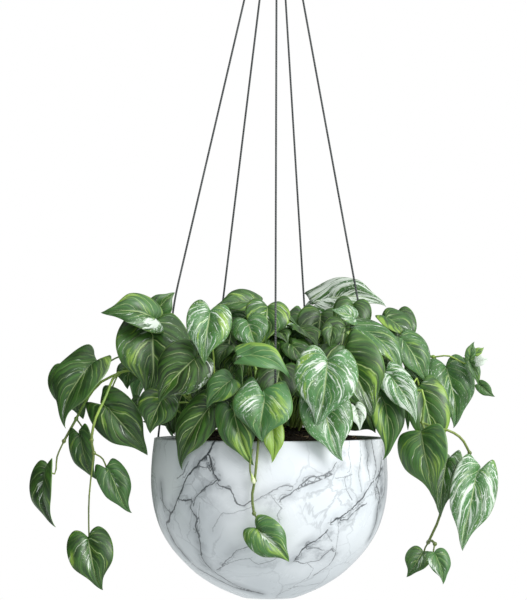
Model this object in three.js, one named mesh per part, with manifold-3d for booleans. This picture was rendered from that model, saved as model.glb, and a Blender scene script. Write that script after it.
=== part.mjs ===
// Hanging pothos: a marbled bowl on five cords, filled with soil and a mound of variegated vines.
// Millimetres, +Z up. The origin is where a ceiling hook bears on the inside of the hanging ring.
// The viewer stands on the -Y side and +X is to the right.
import * as THREE from 'three';
import { mergeVertices } from 'three/addons/utils/BufferGeometryUtils.js';
import Module from 'manifold-3d';

const wasm = await Module();
wasm.setup();

// ---- driving dimensions ------------------------------------------------------------------
const rimRadius = 115;            // outside of the rim
const bellyRadius = 118.3;        // widest part of the bowl
const potHeight = 159.5;          // rim to flat foot
const footRadius = 26;            // flat the bowl can stand on
const wall = 5;                   // thickness of the bowl
const rimToSleeve = 563;          // rim plane to the underside of the gathering sleeve
const hangOffset = 7.4;           // the bowl hangs this far left of its hook, as the right side is heavier
const sleeveRadius = 5.5;
const sleeveHeight = 22;
const ringRadius = 15;            // centre line of the hanging ring
const ringWire = 2;               // radius of its wire
const cordRadius = 1;
const cordCircle = 3.5;           // the cords enter the sleeve on this circle
const cordHole = 2.6;             // radius of the hole that each cord goes in by
const cordHoleDepth = 9;          // its middle, below the rim
const bladeThickness = 1.3;       // at the midrib, thinning to the margin
const petioleRadius = 1.05;
const vineRadius = 1.5;
const nodeRadius = 2.5;           // swelling where leaves leave a vine
const clearance = 0.3;            // between any two parts

const ringCentre = rimToSleeve + sleeveHeight + ringRadius - 6;
const drop = ringCentre + ringRadius - ringWire;      // hook to rim plane

// Outside of the bowl: height below the rim and radius, rim to foot.
const potProfile = [
  [0, rimRadius], [-20, 117.4], [-42, bellyRadius], [-60, 117], [-76, 113.8], [-92, 108.2],
  [-108, 98.8], [-122, 87], [-136, 72], [-147, 55], [-155, 38], [-potHeight, footRadius],
];
// Inside of the bowl, foot to rim: the same curve drawn in by the wall.
const innerProfile = [
  [-154, 0], [-154, 24], [-146, 45], [-132, 67.5], [-112, 88.5], [-88, 104.2], [-66, 110.9], [-42, 113.3],
  [-14, 111.8], [-1.2, 110.2],
];
// Top of the soil, centre to edge: heaped in the middle, low at the wall so that water stays in.
const soilTop = [[11, 0], [9.5, 40], [6, 66], [2, 82], [-2.5, 92], [-7.5, 99], [-12.5, 104], [-20, 111.4]];

// Where each cord goes in, as an angle round the rim: 0 faces the viewer, 90 is to the right.
// A cord that leans on the foliage on its way down has the point it leans on.
const cords = [
  { name: 'cord_front', angle: 2.7 },
  { name: 'cord_right', angle: 103 },
  { name: 'cord_back_right', angle: 158 },
  { name: 'cord_back_left', angle: 213 },
  { name: 'cord_left', angle: 252, leansOn: [-95, 4, 138] },
];

// A leaf blade's outline, base to tip, in shares of its length and half width:
// how far along the midrib is, how far along the margin is, how far out the margin is.
const outline = [
  [0, 0, 0], [0.04, -0.12, 0.24], [0.09, -0.16, 0.54], [0.17, -0.06, 0.82], [0.27, 0.11, 0.98],
  [0.39, 0.31, 1], [0.52, 0.51, 0.88], [0.66, 0.69, 0.65], [0.8, 0.84, 0.37], [0.92, 0.94, 0.12], [1, 1, 0],
];

// Stems. Each is one body: runs of stem through points measured from the middle of the rim plane,
// with the places that leaves grow from marked by name.
const stems = [
  {
    name: 'vine_left',
    runs: [
      [[-66, -22, 7.5], [-74, -22, 34], [-96, -26, 66], [-112, -26, 88]],
      [[-74, -22, 34], [-104, -26, 58], [-136, -30, 69], [-150, -32, 65], [-168, -33, 56], [-181, -31, 40],
        [-192, -29, 20], [-204, -35, -2]],
      [[-150, -32, 65], [-155, -48, 60], [-162, -62, 42], [-172, -67, 20], [-175.5, -65, 0],
        [-173.5, -60, -13]],
    ],
    nodes: {
      crown: [-66, -22, 10], high: [-112, -26, 88], fork: [-150, -32, 65], low: [-192, -29, 20],
      end: [-204, -35, -2], hang: [-175.5, -65, 0], tail: [-173.5, -60, -13], mid: [-96, -26, 66],
    },
  },
  {
    name: 'stem_front_left',
    runs: [[[-44, -48, 9], [-46, -56, 26], [-54, -62, 44]]],
    nodes: { crown: [-44, -48, 11], mid: [-46, -56, 26], high: [-54, -62, 44] },
  },
  {
    name: 'vine_front',
    runs: [
      [[-6, -66, 7.5], [-7, -78, 24], [-8, -98, 24], [-10, -116, 10], [-11.5, -121.6, -8], [-14.5, -122, -38],
        [-17, -121.5, -54], [-15, -119.5, -70]],
      [[-7, -78, 24], [-12, -74, 46], [-14, -68, 70]],
    ],
    nodes: {
      crown: [-6, -66, 9.5], mid: [-7, -78, 24], high: [-14, -68, 70], hang: [-14.5, -122, -38],
      tail: [-15, -119.5, -70],
    },
  },
  {
    name: 'stem_front_right',
    runs: [[[46, -50, 9], [52, -58, 28], [64, -62, 50]]],
    nodes: { crown: [46, -50, 11], mid: [52, -58, 28], high: [64, -62, 50] },
  },
  {
    name: 'vine_right',
    runs: [
      [[70, -14, 8], [80, -18, 36], [96, -10, 66], [122, -4, 80], [150, -2, 84], [164, -2, 81]],
      [[80, -18, 36], [94, -38, 36], [116, -48, 38], [140, -54, 48], [152, -60, 48], [151, -62, 17]],
      [[151, -62, 17], [164, -66, 12], [178, -66, 9], [190, -62, 1], [198, -58, -13]],
      [[151, -62, 17], [156, -54, 2], [163, -52, -16], [168, -54, -40], [170, -60, -62], [168, -64, -76],
        [157, -62, -101]],
      [[157, -62, -101], [160, -70, -99], [163, -76, -102]],
    ],
    nodes: {
      crown: [70, -14, 10], mid: [96, -10, 66], high: [122, -4, 80], out: [164, -2, 81], fork: [151, -62, 17],
      reach: [198, -58, -13], low: [163, -52, -16], end: [157, -62, -101], twin: [163, -76, -102],
      bend: [140, -54, 48],
    },
  },
  {
    name: 'stem_back_left',
    runs: [[[-40, 34, 9.5], [-44, 40, 36], [-48, 44, 70]]],
    nodes: { crown: [-40, 34, 12], mid: [-44, 40, 36], high: [-48, 44, 70] },
  },
  {
    name: 'stem_back_right',
    runs: [[[36, 36, 9.5], [38, 42, 40], [36, 46, 78]]],
    nodes: { crown: [36, 36, 12], mid: [38, 42, 40], high: [36, 46, 78] },
  },
];

// Leaves, front to back in each region: base and tip from the middle of the rim plane, width across,
// where the upper face looks (degrees to the right of the viewer, degrees up), and what it grows from.
const leaves = [
  // over the front of the bowl
  { name: 'leaf_front_hanging', from: 'vine_front.tail', base: [-13, -123, -84], tip: [21, -122, -115],
    width: 38, faces: [-8, 6] },
  { name: 'leaf_front_heart', from: 'vine_front.mid', base: [-4, -121, 44], tip: [-11, -130, 1],
    width: 60, faces: [-6, 18], lobe: 2.6 },
  { name: 'leaf_front_sprawl', from: 'vine_front.high', base: [-28, -112, 84], tip: [23, -116, 64],
    width: 32, faces: [0, 42], arch: 0.2 },
  { name: 'leaf_front_lime', from: 'vine_front.mid', base: [-36, -112, 35], tip: [-19, -123, -24],
    width: 40, faces: [-14, 8] },
  { name: 'leaf_front_right_heart', from: 'stem_front_right.high', base: [57, -114, 80], tip: [49, -126, 15],
    width: 64, faces: [4, 10], lobe: 1.2 },
  { name: 'leaf_front_right_low', from: 'stem_front_right.mid', base: [50, -103, 42], tip: [64, -117, -20],
    width: 54, faces: [16, 8] },
  { name: 'leaf_front_left_low', from: 'stem_front_left.mid', base: [-56, -106, 36], tip: [-93, -91, -24],
    width: 44, faces: [-32, 6] },
  { name: 'leaf_curled', from: 'stem_front_left.high', base: [-36, -106, 61], tip: [-64, -106, 35],
    width: 32, faces: [-10, 24], lobe: 0.4 },
  { name: 'leaf_dark_heart', from: 'stem_front_right.high', base: [72, -88, 88], tip: [104, -92, 24],
    width: 64, faces: [6, 8], lobe: 1.3 },
  // right side, near
  { name: 'leaf_right_low', from: 'vine_right.fork', base: [150, -70, 9], tip: [165, -80, -54],
    width: 55, faces: [-26, 12], lobe: 0.3 },
  { name: 'leaf_right_far', from: 'vine_right.reach', base: [205, -68, -29], tip: [187, -76, -108],
    width: 48, faces: [8, 6] },
  { name: 'leaf_right_dark', from: 'vine_right.low', base: [176, -62, -18], tip: [167, -76, -75],
    width: 36, faces: [-12, 6] },
  { name: 'leaf_right_twin_a', from: 'vine_right.end', base: [152, -66, -110], tip: [138, -71, -136],
    width: 27, faces: [-22, 12], lobe: 0.5 },
  { name: 'leaf_right_twin_b', from: 'vine_right.twin', base: [162, -85, -110], tip: [173, -89, -140],
    width: 25, faces: [22, 12], lobe: 0.5 },
  { name: 'leaf_right_striped', from: 'vine_right.bend', base: [117, -80, 66], tip: [148, -86, 20],
    width: 32, faces: [10, 14] },
  { name: 'leaf_right_slim', from: 'stem_front_right.mid', base: [112, -64, 46], tip: [120, -78, -18],
    width: 38, faces: [12, 4], fold: 24 },
  { name: 'leaf_right_behind', from: 'vine_right.bend', base: [151, -35, 50], tip: [165, -38, -20],
    width: 46, faces: [18, 4] },
  { name: 'leaf_arching', from: 'stem_front_right.high', base: [84, -64, 110], tip: [134, -66, 58],
    width: 38, faces: [35, 38], arch: 0.2 },
  { name: 'leaf_right_upper', from: 'vine_right.high', base: [132, -30, 99], tip: [157, -38, 52],
    width: 42, faces: [34, 14] },
  { name: 'leaf_right_outer', from: 'vine_right.out', base: [176, -20, 72], tip: [189, -28, 12],
    width: 50, faces: [12, 8] },
  { name: 'leaf_right_rolled', from: 'vine_right.out', base: [197, -18, 80], tip: [209, -22, 50],
    width: 15, faces: [30, 20], fold: 30 },
  { name: 'leaf_right_crest', from: 'vine_right.high', base: [116, 6, 121], tip: [145, -4, 94],
    width: 38, faces: [38, 34] },
  // left side, near
  { name: 'leaf_left_outer', from: 'vine_left.high', base: [-175, -48, 76], tip: [-210, -54, 16],
    width: 58, faces: [-38, 10], lobe: 1.3 },
  { name: 'leaf_left_fork', from: 'vine_left.fork', base: [-163, -42, 35], tip: [-119, -46, -14],
    width: 47, faces: [-8, 6], lobe: 1.3 },
  { name: 'leaf_left_end', from: 'vine_left.end', base: [-218, -42, -29], tip: [-215, -48, -87],
    width: 56, faces: [-62, 6], fold: 24 },
  { name: 'leaf_left_hang', from: 'vine_left.tail', base: [-160, -42, -29], tip: [-142, -46, -75],
    width: 33, faces: [14, 8] },
  { name: 'leaf_left_low', from: 'vine_left.low', base: [-187, -42, 6], tip: [-173, -44, -42],
    width: 32, faces: [-40, 6] },
  { name: 'leaf_left_lowest', from: 'vine_left.tail', base: [-180, -42, -97], tip: [-170, -48, -150],
    width: 47, faces: [0, 8] },
  { name: 'leaf_left_crest', from: 'vine_left.high', base: [-113, -44, 119], tip: [-166, -54, 122],
    width: 48, faces: [-12, 38], arch: 0.2 },
  { name: 'leaf_left_large', from: 'vine_left.high', base: [-116, -56, 108], tip: [-114, -74, 42],
    width: 76, faces: [4, 14], lobe: 1.6 },
  { name: 'leaf_left_shade', from: 'stem_front_left.high', base: [-72, -86, 82], tip: [-112, -86, 41],
    width: 54, faces: [-8, 8] },
  { name: 'leaf_left_brown', from: 'stem_front_left.mid', base: [-105, -66, 42], tip: [-120, -70, 8],
    width: 42, faces: [-12, 6] },
  // top of the mound
  { name: 'leaf_top_light', from: 'stem_front_left.high', base: [-58, -88, 128], tip: [-67, -102, 77],
    width: 46, faces: [8, 16] },
  { name: 'leaf_top_marbled', from: 'vine_front.high', base: [-22, -72, 118], tip: [-12, -86, 87],
    width: 38, faces: [0, 20] },
  { name: 'leaf_top_yellow', from: 'stem_back_left.high', base: [-2, -44, 132], tip: [-5, -56, 95],
    width: 46, faces: [10, 14] },
  { name: 'leaf_top_left', from: 'stem_back_left.high', base: [-12, 2, 134], tip: [-57, -8, 130],
    width: 36, faces: [-8, 50] },
  { name: 'leaf_top_right', from: 'stem_back_right.high', base: [53, 86, 137], tip: [119, 62, 137],
    width: 52, faces: [4, 44], lobe: 2 },
  { name: 'leaf_back_shade', from: 'stem_back_right.high', base: [39, 100, 119], tip: [22, 104, 63],
    width: 46, faces: [0, 4] },
  // back of the mound
  { name: 'leaf_back_a', from: 'stem_back_left.high', base: [-62, 96, 96], tip: [-78, 116, 30],
    width: 66, faces: [204, 14] },
  { name: 'leaf_back_b', from: 'stem_back_left.mid', base: [0, 104, 84], tip: [4, 128, 14],
    width: 64, faces: [178, 14] },
  { name: 'leaf_back_c', from: 'stem_back_right.mid', base: [78, 84, 78], tip: [92, 104, 10],
    width: 62, faces: [150, 14] },
  { name: 'leaf_back_d', from: 'stem_back_left.high', base: [-112, 40, 88], tip: [-136, 52, 24],
    width: 60, faces: [248, 14] },
  { name: 'leaf_back_e', from: 'stem_back_right.high', base: [118, 46, 72], tip: [140, 58, 8],
    width: 58, faces: [112, 14] },
  { name: 'leaf_back_f', from: 'stem_back_left.high', base: [-22, 74, 122], tip: [-40, 102, 78],
    width: 54, faces: [192, 40] },
];

// ---- materials ---------------------------------------------------------------------------
function paint(color, roughness, metalness = 0) {
  return new THREE.MeshStandardMaterial({ color, roughness, metalness });
}

const marble = paint(0xe6e8e8, 0.35);
const earth = paint(0x2f261c, 1);
const twine = paint(0x3a3d3d, 0.8);
const steel = paint(0xb9bcbc, 0.3, 1);
const leafDark = paint(0x36562a, 0.45);
const leafLight = paint(0x6f9a62, 0.4);
const stemGreen = paint(0x7f9a48, 0.5);

// ---- helpers -----------------------------------------------------------------------------
const vec = (p) => new THREE.Vector3(...p);
const aroundRim = (angle, radius, z) => {
  const a = THREE.MathUtils.degToRad(angle);
  return new THREE.Vector3(radius * Math.sin(a), -radius * Math.cos(a), z);
};

// A closed geometry as a manifold solid, for cutting, joining and measuring gaps.
function solidOf(geometry, matrix) {
  const bare = new THREE.BufferGeometry();
  bare.setAttribute('position', geometry.attributes.position.clone());
  if (geometry.index) bare.setIndex(geometry.index.clone());
  if (matrix) bare.applyMatrix4(matrix);
  const welded = mergeVertices(bare, 1e-3);
  const tri = [];
  for (let i = 0; i < welded.index.count; i += 3) {
    const [a, b, c] = [0, 1, 2].map((k) => welded.index.getX(i + k));
    if (a !== b && b !== c && c !== a) tri.push(a, b, c);
  }
  return new wasm.Manifold(new wasm.Mesh({
    numProp: 3,
    vertProperties: new Float32Array(welded.attributes.position.array),
    triVerts: new Uint32Array(tri),
  }));
}

function geometryOf(solid) {
  const mesh = solid.getMesh();
  const geometry = new THREE.BufferGeometry();
  geometry.setAttribute('position', new THREE.BufferAttribute(new Float32Array(mesh.vertProperties), 3));
  geometry.setIndex(new THREE.BufferAttribute(new Uint32Array(mesh.triVerts), 1));
  geometry.computeVertexNormals();
  return geometry;
}

function meshOf(name, geometry, material) {
  const mesh = new THREE.Mesh(geometry, material);
  mesh.name = name;
  return mesh;
}

function lathe(profile, segments) {
  const closed = profile.map(([z, r]) => new THREE.Vector2(r, z));
  return new THREE.LatheGeometry(closed, segments).rotateX(Math.PI / 2);
}

// A round bar of the given radius swept along a curve.
function bar(points, radius, steps, sides) {
  return sweep(new THREE.CatmullRomCurve3(points), radius, steps, sides);
}

function sweep(curve, radius, steps, sides) {
  const section = new THREE.Shape();
  for (let i = 0; i < sides; i += 1) {
    const a = (i / sides) * 2 * Math.PI;
    const move = i === 0 ? 'moveTo' : 'lineTo';
    section[move](radius * Math.cos(a), radius * Math.sin(a));
  }
  return new THREE.ExtrudeGeometry(section, { steps, extrudePath: curve, bevelEnabled: false });
}

// Points along a path of several curves, with so many steps in each.
function alongPath(path, steps) {
  const points = [path.curves[0].getPoint(0)];
  path.curves.forEach((curve, i) => {
    for (let k = 1; k <= steps[i]; k += 1) points.push(curve.getPoint(k / steps[i]));
  });
  return points;
}

// A round tube with a ring at each given point, for a route whose bends are much closer than its length.
function tube(points, radius, sides) {
  const route = new THREE.CurvePath();
  points.slice(1).forEach((p, i) => route.add(new THREE.LineCurve3(points[i], p)));
  const steps = points.length - 1;
  route.getPointAt = (u) => points[Math.round(u * steps)].clone();
  route.getTangentAt = (u) => {
    const i = Math.round(u * steps);
    const back = points[i].clone().sub(points[Math.max(i - 1, 0)]).normalize();
    const on = points[Math.min(i + 1, steps)].clone().sub(points[i]).normalize();
    return back.add(on).normalize();
  };
  route.getSpacedPoints = (n) => Array.from({ length: n + 1 }, (_, i) => route.getPointAt(i / n));
  return sweep(route, radius, steps, sides);
}

// Everything placed so far, so that a later leaf or stalk can keep clear of it.
const placed = [];

function keepClearOf(name, solid) {
  const { min, max } = solid.boundingBox();
  placed.push({ name, solid, box: new THREE.Box3(vec(min), vec(max)) });
}

function clearOfAll(solid, gap) {
  const { min, max } = solid.boundingBox();
  const box = new THREE.Box3(vec(min), vec(max)).expandByScalar(gap);
  const near = placed.filter((other) => other.box.intersectsBox(box));
  return near.every((other) => solid.minGap(other.solid, gap) >= gap - 1e-6);
}

// ---- bowl and soil -----------------------------------------------------------------------
function buildPot() {
  const rim = [[-0.4, 110.6], [0, 111.4]];                  // eased inner edge of the rim
  const profile = [[-potHeight, 0], ...[...potProfile].reverse().slice(0, -1), [-0.8, rimRadius - 0.1],
    [0, rimRadius - 0.9], ...rim.reverse(), ...[...innerProfile].reverse()];
  let solid = solidOf(lathe(profile, 36));
  for (const cord of cords) {
    const drill = new THREE.CylinderGeometry(cordHole, cordHole, wall * 3, 10);
    const turn = new THREE.Matrix4().makeRotationZ(THREE.MathUtils.degToRad(cord.angle));
    turn.setPosition(aroundRim(cord.angle, rimRadius - wall / 2, -cordHoleDepth));
    solid = solid.subtract(solidOf(drill, turn));
  }
  keepClearOf('pot', solid);
  return meshOf('pot', geometryOf(solid), marble);
}

function buildSoil() {
  const gap = clearance + 0.15;
  const sides = innerProfile.filter(([z, r]) => z < -30 && r > 0).map(([z, r]) => [z + gap * 0.6, r - gap]);
  const profile = [[-154 + gap, 0], ...sides, ...[...soilTop].reverse()];
  const solid = solidOf(lathe(profile, 36));
  keepClearOf('soil', solid);
  return meshOf('soil', geometryOf(solid), earth);
}

// ---- cords, sleeve and ring --------------------------------------------------------------
function buildCord({ name, angle, leansOn }) {
  const top = aroundRim(angle, cordCircle, rimToSleeve - clearance);
  top.x += hangOffset;
  const overRim = aroundRim(angle, 118.1, -4);              // just outside the rim
  const lean = leansOn ? vec(leansOn) : top.clone().lerp(overRim, 0.7);
  const path = new THREE.CurvePath();
  const above = lean.clone().lerp(top, 0.04);
  const below = lean.clone().lerp(overRim, 0.12);
  path.add(new THREE.LineCurve3(top, above));
  path.add(new THREE.QuadraticBezierCurve3(above, lean, below));
  path.add(new THREE.LineCurve3(below, overRim));
  const turnIn = aroundRim(angle, 118.6, -cordHoleDepth);
  const inHole = aroundRim(angle, 114, -cordHoleDepth);
  path.add(new THREE.QuadraticBezierCurve3(overRim, turnIn, inHole));
  path.add(new THREE.LineCurve3(inHole, aroundRim(angle, 107.5, -cordHoleDepth)));
  const geometry = tube(alongPath(path, [1, leansOn ? 3 : 1, 1, 5, 1]), cordRadius, 8);
  keepClearOf(name, solidOf(geometry));
  return meshOf(name, geometry, twine);
}

function buildSleeve() {
  const r = sleeveRadius;
  const h = sleeveHeight;
  const profile = [[0, 0], [0, r - 1], [1, r], [h - 1.5, r], [h, r - 1.5], [h, 0]];
  const raised = (z) => new THREE.Matrix4().makeTranslation(0, 0, z);
  const body = solidOf(lathe(profile, 24), raised(rimToSleeve));
  const bed = solidOf(ringGeometry(ringWire + clearance), raised(ringCentre));
  return meshOf('gather_sleeve', geometryOf(body.subtract(bed)), steel);
}

function ringGeometry(wire) {
  const points = [];
  for (let i = 0; i <= 10; i += 1) {
    const a = (i / 10) * 2 * Math.PI;
    points.push(new THREE.Vector2(ringRadius + wire * Math.cos(a), wire * Math.sin(a)));
  }
  points[10].copy(points[0]);
  return new THREE.LatheGeometry(points, 28);               // turns about Y, so the ring stands upright
}

function buildRing() {
  return meshOf('hanging_ring', ringGeometry(ringWire), steel);
}

// ---- leaves ------------------------------------------------------------------------------
// A thin heart-shaped blade folded along its midrib: x across, y from base to tip, z out of the upper face.
// Its four meridians are the right margin, the midrib above, the left margin and the midrib below.
function bladeGeometry({ length, width, fold, arch, lobe }) {
  const rows = outline.length - 1;
  const geometry = new THREE.SphereGeometry(1, 4, rows);
  const at = geometry.attributes.position;
  const lean = THREE.MathUtils.degToRad(fold);
  const bow = (y) => 4 * arch * y * (1 - y / length) * (y < 0 ? 0.4 : 1);
  outline.forEach(([ribShare, marginShare, outShare], row) => {
    const rib = ribShare * length;
    const margin = marginShare * length * (marginShare < 0 ? lobe : 1);
    const out = outShare * width / 2;
    const half = row === 0 || row === rows ? 0 : bladeThickness / 2;
    const spots = [
      [out * Math.cos(lean), margin, bow(margin) + out * Math.sin(lean)],
      [0, rib, bow(rib) + half],
      [-out * Math.cos(lean), margin, bow(margin) + out * Math.sin(lean)],
      [0, rib, bow(rib) - half],
    ];
    for (let side = 0; side <= 4; side += 1) at.setXYZ(row * 5 + side, ...spots[side % 4]);
  });
  return mergeVertices(geometry.deleteAttribute('uv').deleteAttribute('normal'), 1e-4);
}

// The blade's own axes in the plant: y runs base to tip and z leans to where the leaf faces.
function bladeFrame({ base, tip, faces }) {
  const [side, up] = faces.map(THREE.MathUtils.degToRad);
  const along = vec(tip).sub(vec(base)).normalize();
  const look = new THREE.Vector3(Math.sin(side) * Math.cos(up), -Math.cos(side) * Math.cos(up), Math.sin(up));
  const out = look.addScaledVector(along, -look.dot(along)).normalize();
  const across = new THREE.Vector3().crossVectors(along, out);
  return new THREE.Matrix4().makeBasis(across, along, out).setPosition(vec(base));
}

// Leaves are settled front to back: one that would cut what is already there moves away from the viewer.
function buildLeaf(spec) {
  const leaf = { fold: 14, arch: 0.08, lobe: 1, ...spec };
  const length = vec(leaf.tip).distanceTo(vec(leaf.base));
  const geometry = bladeGeometry({ ...leaf, length });
  const frame = bladeFrame(leaf);
  const step = leaf.faces[0] > 90 && leaf.faces[0] < 270 ? -2 : 2;
  let solid = solidOf(geometry, frame);
  let moved = 0;
  while (!clearOfAll(solid, clearance + 0.5) && Math.abs(moved) < 40) {
    moved += step;
    frame.elements[13] += step;
    solid = solidOf(geometry, frame);
  }
  keepClearOf(leaf.name, solid);
  const share = 0.06;                       // the stalk meets the blade this far from its base
  const rib = new THREE.Vector3(0, share * length, 4 * leaf.arch * share * length * (1 - share));
  const under = new THREE.Vector3(0, 4 * leaf.arch * (1 - 2 * share), -1).normalize();
  leaf.joint = rib.clone().addScaledVector(under, bladeThickness / 2 + clearance + 0.05).applyMatrix4(frame);
  leaf.joinsFrom = rib.clone().addScaledVector(under, 7).applyMatrix4(frame);
  const lit = leaf.name.includes('front') || leaf.name.includes('right');
  const mesh = meshOf(leaf.name, geometry, lit ? leafLight : leafDark);
  mesh.position.setFromMatrixPosition(frame);
  mesh.quaternion.setFromRotationMatrix(frame);
  return { leaf, mesh };
}

// ---- stems -------------------------------------------------------------------------------
// A leaf stalk from a node to the underside of a blade. It takes the first bend that touches nothing.
function stalk(start, leaf) {
  const middle = start.clone().lerp(leaf.joinsFrom, 0.5);
  const reach = start.distanceTo(leaf.joinsFrom);
  const along = leaf.joinsFrom.clone().sub(start).normalize();
  const up = new THREE.Vector3(0, 0, 1).addScaledVector(along, -along.z).normalize();
  const across = new THREE.Vector3().crossVectors(along, up);
  let best;
  for (let ring = 0; ring < 9; ring += 1) {
    for (let turn = 0; turn < 12; turn += 1) {
      const a = turn * Math.PI / 6;
      const size = reach * (0.08 + 0.07 * ring);
      const bend = middle.clone();
      bend.addScaledVector(up, size * Math.cos(a)).addScaledVector(across, size * Math.sin(a));
      const solid = solidOf(bar([start, bend, leaf.joinsFrom, leaf.joint], petioleRadius, 7, 5));
      best ??= solid;
      if (clearOfAll(solid, clearance)) return solid;
    }
  }
  return best;
}

function buildStem({ name, runs, nodes }, grown) {
  let solid;
  const join = (piece) => { solid = solid ? solid.add(piece) : piece; };
  for (const run of runs) {
    const points = run.map(vec);
    join(solidOf(bar(points, vineRadius, (points.length - 1) * 2 + 1, 6)));
  }
  for (const at of Object.values(nodes)) {
    const knob = new THREE.OctahedronGeometry(nodeRadius, 1);
    join(solidOf(knob, new THREE.Matrix4().makeTranslation(...at)));
  }
  for (const { leaf } of grown) {
    const [, node] = leaf.from.split('.');
    join(stalk(vec(nodes[node]), leaf));
  }
  solid = solid.simplify(0.06);
  keepClearOf(name, solid);
  return meshOf(name, geometryOf(solid), stemGreen);
}

// ---- assembly ----------------------------------------------------------------------------
const group = new THREE.Group();
group.name = 'hanging_pothos';
const hanger = new THREE.Group();
hanger.name = 'hanger';
hanger.position.set(0, 0, -drop);
const ring = buildRing();
ring.position.z = ringCentre;
hanger.add(ring, buildSleeve());

const plant = new THREE.Group();
plant.name = 'potted_plant';
plant.position.set(-hangOffset, 0, -drop);
plant.add(buildPot(), buildSoil());
for (const cord of cords) plant.add(buildCord(cord));
const grown = leaves.map(buildLeaf);
for (const { mesh } of grown) plant.add(mesh);
for (const stem of stems) {
  const own = grown.filter(({ leaf }) => leaf.from.startsWith(`${stem.name}.`));
  plant.add(buildStem(stem, own));
}
group.add(hanger, plant);

export default group;
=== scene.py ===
import bpy
import bmesh
import math
import random
import numpy as np
from mathutils import Matrix, Vector, noise
from mathutils.bvhtree import BVHTree


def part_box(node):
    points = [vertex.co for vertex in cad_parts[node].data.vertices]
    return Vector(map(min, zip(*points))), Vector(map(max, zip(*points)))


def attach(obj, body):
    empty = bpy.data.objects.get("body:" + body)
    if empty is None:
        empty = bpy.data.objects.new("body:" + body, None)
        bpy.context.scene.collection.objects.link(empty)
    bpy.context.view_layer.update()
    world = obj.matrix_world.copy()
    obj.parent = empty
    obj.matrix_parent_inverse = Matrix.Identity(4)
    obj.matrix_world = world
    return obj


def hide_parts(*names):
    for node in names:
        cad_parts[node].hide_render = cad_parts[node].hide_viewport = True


# Hanging pothos in a marbled bowl. The bowl hangs on five cords from one ring.
# Metres. Lengths in the dictionaries are millimetres from the bowl's axis and its rim.
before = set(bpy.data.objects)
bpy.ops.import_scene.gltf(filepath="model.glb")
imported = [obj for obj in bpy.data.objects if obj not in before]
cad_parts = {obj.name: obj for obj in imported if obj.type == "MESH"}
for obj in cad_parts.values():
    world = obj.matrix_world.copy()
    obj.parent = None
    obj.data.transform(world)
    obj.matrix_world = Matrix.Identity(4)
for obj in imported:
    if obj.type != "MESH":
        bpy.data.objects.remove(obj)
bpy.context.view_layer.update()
mm = 0.001

potLow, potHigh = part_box("pot")
rimCentre = Vector(((potLow.x + potHigh.x) / 2, (potLow.y + potHigh.y) / 2, potHigh.z))
ringLow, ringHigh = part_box("hanging_ring")
hookX = (ringLow.x + ringHigh.x) / 2
print("frame loaded, rim at", round(rimCentre.z, 4))


def spot(x, y, z):  # millimetres about the rim to the shared frame
    return rimCentre + Vector((x, y, z)) * mm


def aroundRim(angle, radius, z):  # angle 0 faces the front, 90 is to the right
    turn = math.radians(angle)
    return spot(radius * math.sin(turn), -radius * math.cos(turn), z)


def colour(text):  # sRGB hex to the linear colour a shader wants
    parts = [int(text[i:i + 2], 16) / 255 for i in (1, 3, 5)]
    return tuple(p / 12.92 if p <= 0.04045 else ((p + 0.055) / 1.055) ** 2.4 for p in parts) + (1,)


def addNode(tree, kind, settings=None, links=None):  # a node, its settings and what feeds it
    made = tree.nodes.new("ShaderNode" + kind)
    sockets = {}
    for key, value in (settings or {}).items():
        if isinstance(key, str) and key.islower():
            setattr(made, key, value)
    for socket in made.inputs:
        if socket.enabled:
            sockets.setdefault(socket.name, socket)
    for key, value in (settings or {}).items():
        if key in sockets:
            sockets[key].default_value = value
        elif isinstance(key, int):
            made.inputs[key].default_value = value
    for key, source in (links or {}).items():
        if isinstance(source, bpy.types.Node):
            source = next(o for o in source.outputs if o.enabled)
        tree.links.new(source, made.inputs[key] if isinstance(key, int) else sockets[key])
    return made


def newFinish(name, settings):  # a material and its shader, constants on the sockets
    material = bpy.data.materials.new(name)
    material.use_nodes = True
    tree = material.node_tree
    shader = tree.nodes["Principled BSDF"]
    for key, value in settings.items():
        shader.inputs[key].default_value = value
    return material, tree, shader


def feed(tree, source, target):
    if isinstance(source, bpy.types.Node):
        source = next(o for o in source.outputs if o.enabled)
    tree.links.new(source, target)


def blendColours(tree, first, second, share):  # colours may be hex text or a node
    settings = {"data_type": "RGBA"}
    links = {}
    for key, value in (("A", first), ("B", second), ("Factor", share)):
        if isinstance(value, str):
            settings[key] = colour(value)
        elif isinstance(value, (int, float)):
            settings[key] = value
        else:
            links[key] = value
    return addNode(tree, "Mix", settings, links)


def sums(tree, operation, first, second=None, clamp=False):
    settings = {"operation": operation, "use_clamp": clamp}
    links = {}
    for key, value in enumerate((first, second)):
        if value is None:
            continue
        if isinstance(value, (int, float)):
            settings[key] = value
        else:
            links[key] = value
    return addNode(tree, "Math", settings, links)


def times(tree, first, second, clamp=False):
    return sums(tree, "MULTIPLY", first, second, clamp)


def plus(tree, first, second):
    return sums(tree, "ADD", first, second)


def minus(tree, first, second, clamp=False):
    return sums(tree, "SUBTRACT", first, second, clamp)


def ramp(tree, value, low, high, start=0.0, end=1.0):  # smooth step from low to high
    return addNode(tree, "MapRange", {"interpolation_type": "SMOOTHSTEP", "From Min": low, "From Max": high,
                                      "To Min": start, "To Max": end}, {"Value": value})


def turnedShape(outline, steps):  # radius and height in millimetres, spun about +Z and closed
    shape = bmesh.new()
    corners = [shape.verts.new((r * mm, 0, h * mm)) for r, h in outline]
    for a, b in zip(corners, corners[1:]):
        shape.edges.new((a, b))
    bmesh.ops.spin(shape, geom=shape.verts[:] + shape.edges[:], cent=(0, 0, 0), axis=(0, 0, 1),
                   angle=math.tau, steps=steps, use_merge=True)
    bmesh.ops.remove_doubles(shape, verts=shape.verts, dist=1e-6)
    bmesh.ops.recalc_face_normals(shape, faces=shape.faces)
    return shape


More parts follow.
